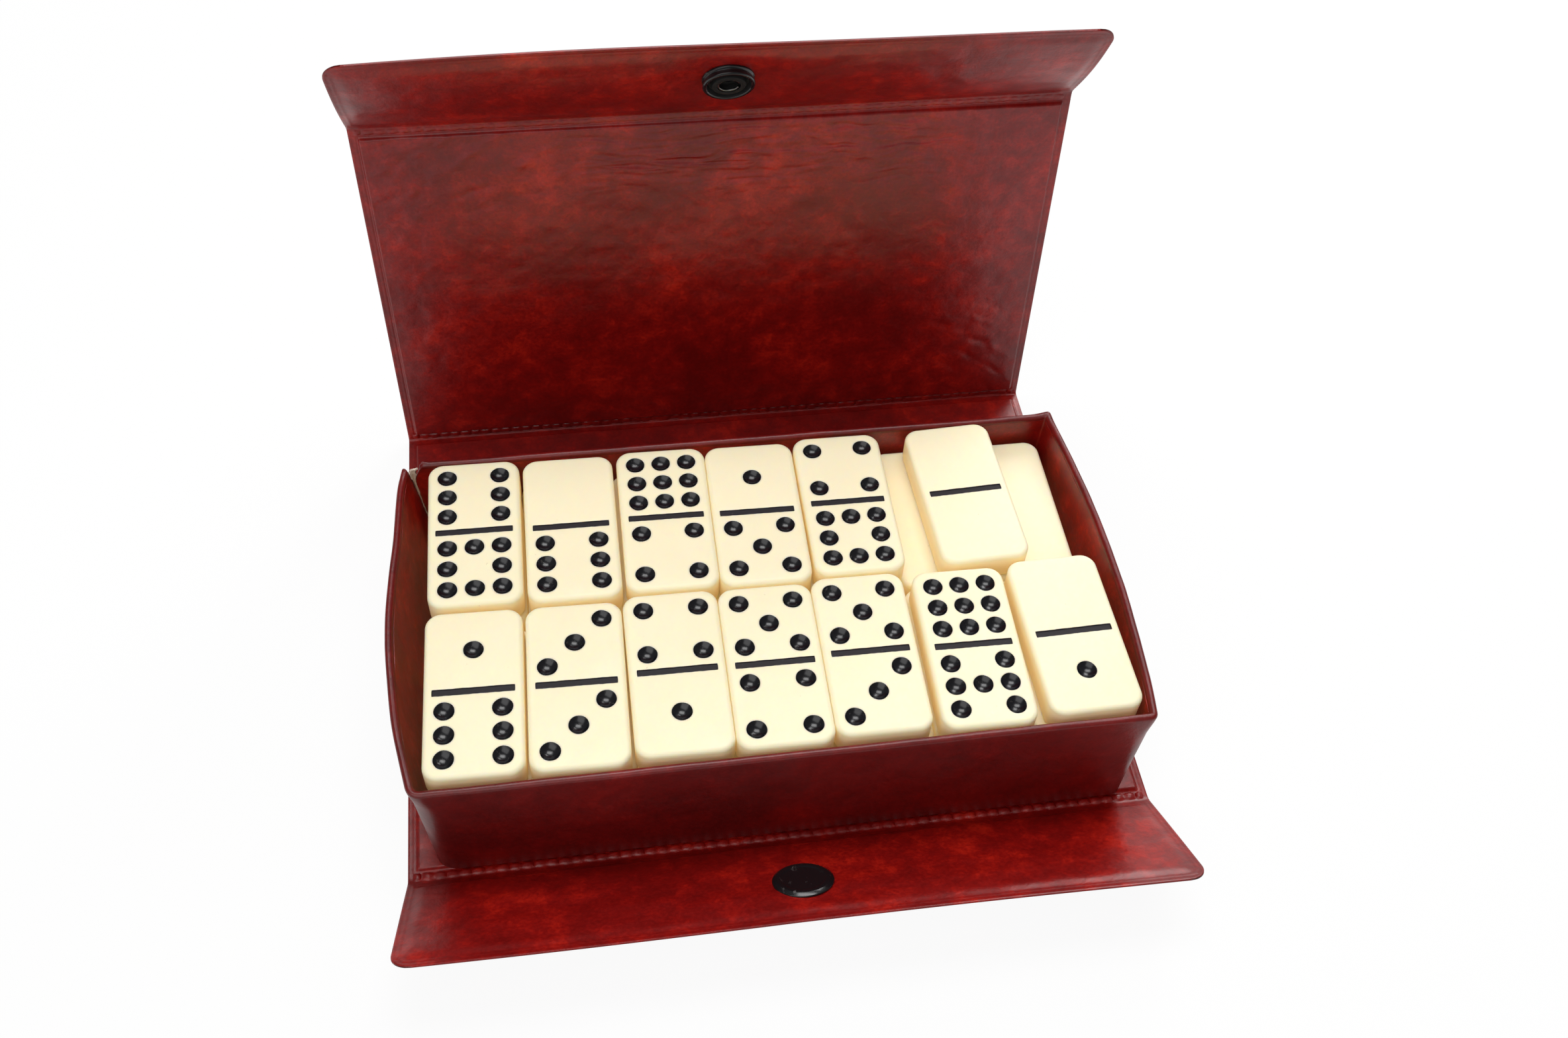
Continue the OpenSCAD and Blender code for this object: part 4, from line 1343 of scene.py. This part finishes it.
# %% [markdown]
# ## Floor, light and background
# The case stands on a white sweep. The floor has to look white and still show the case's soft shadow,
# so the camera sees a mix of the floor's own shading and plain white. The light is a softbox above,
# another behind that draws the highlights in the pips, and a large one from the front left. The world
# is white where the camera or a ray through glass meets it, and dim as light.

# %% Floor
FLOOR_HALF, FLOOR_Z_UNDER, WHITE_SHARE = 3.0, -0.0003, 0.93


def floor_finish():
    look = Look("floor")
    shade = look.add("ShaderNodeBsdfDiffuse", {}, {"Color": (0.9, 0.9, 0.9)})
    white = look.add("ShaderNodeEmission", {}, {"Color": (1, 1, 1), "Strength": 0.995})
    seen = look.add("ShaderNodeLightPath")["Is Camera Ray"]
    mix = look.add("ShaderNodeMixShader", {}, {"Fac": seen * WHITE_SHARE, 1: shade[0], 2: white[0]})
    return look.finish(mix[0])


floor_mesh = bpy.data.meshes.new("floor")
corners = [(x * FLOOR_HALF, y * FLOOR_HALF, FLOOR_Z_UNDER) for x, y in ((-1, -1), (1, -1), (1, 1), (-1, 1))]
floor_mesh.from_pydata(corners, [], [(0, 1, 2, 3)])
floor_mesh.materials.append(floor_finish())
floor = bpy.data.objects.new("floor", floor_mesh)
bpy.context.scene.collection.objects.link(floor)
print("the floor is", 2 * FLOOR_HALF, "m wide")

# %% Softboxes
def softbox(name, place, target, size, power):
    light = bpy.data.lights.new(name, "AREA")
    light.shape = "RECTANGLE"
    light.size, light.size_y = size
    light.energy = power
    obj = bpy.data.objects.new(name, light)
    obj.location = place
    direction = Vector(target) - Vector(place)
    obj.rotation_euler = direction.to_track_quat("-Z", "Y").to_euler()
    bpy.context.scene.collection.objects.link(obj)
    return obj


softbox("light.above", (0.06, 0.25, 0.95), (0, 0.02, 0.02), (0.7, 0.42), 6.2)
softbox("light.behind", (0.5, 0.75, 0.55), (0, 0.02, 0.02), (0.35, 0.55), 4)
softbox("light.front", (-0.8, -1.05, 1.4), (0, 0.02, 0.03), (2.2, 1.6), 19)

# %% World
def white_world():
    look = Look("white", "worlds")
    ray = look.add("ShaderNodeLightPath")
    seen = ray["Is Camera Ray"].maths("MAXIMUM", ray["Is Transmission Ray"])
    dim = look.add("ShaderNodeBackground", {}, {"Color": (1, 0.96, 0.92), "Strength": 0.2})
    bright = look.add("ShaderNodeBackground", {}, {"Color": (1, 1, 1)})
    mix = look.add("ShaderNodeMixShader", {}, {"Fac": seen, 1: dim[0], 2: bright[0]})
    return look.finish(mix[0], "ShaderNodeOutputWorld")


bpy.context.scene.world = white_world()
print("world:", bpy.context.scene.world.name)

# %% [markdown]
# ## Shading
# Sharp edges are marked by angle, so that the thin edges of the sheets stay crisp while everything
# rounded stays smooth.

# %% Sharp edges
SHARP = math.radians(55)
for obj in bpy.data.objects:
    if obj.type == "MESH" and obj.name not in frame["nodes"] and obj.name != "floor":
        obj.data.set_sharp_from_angle(angle=SHARP)
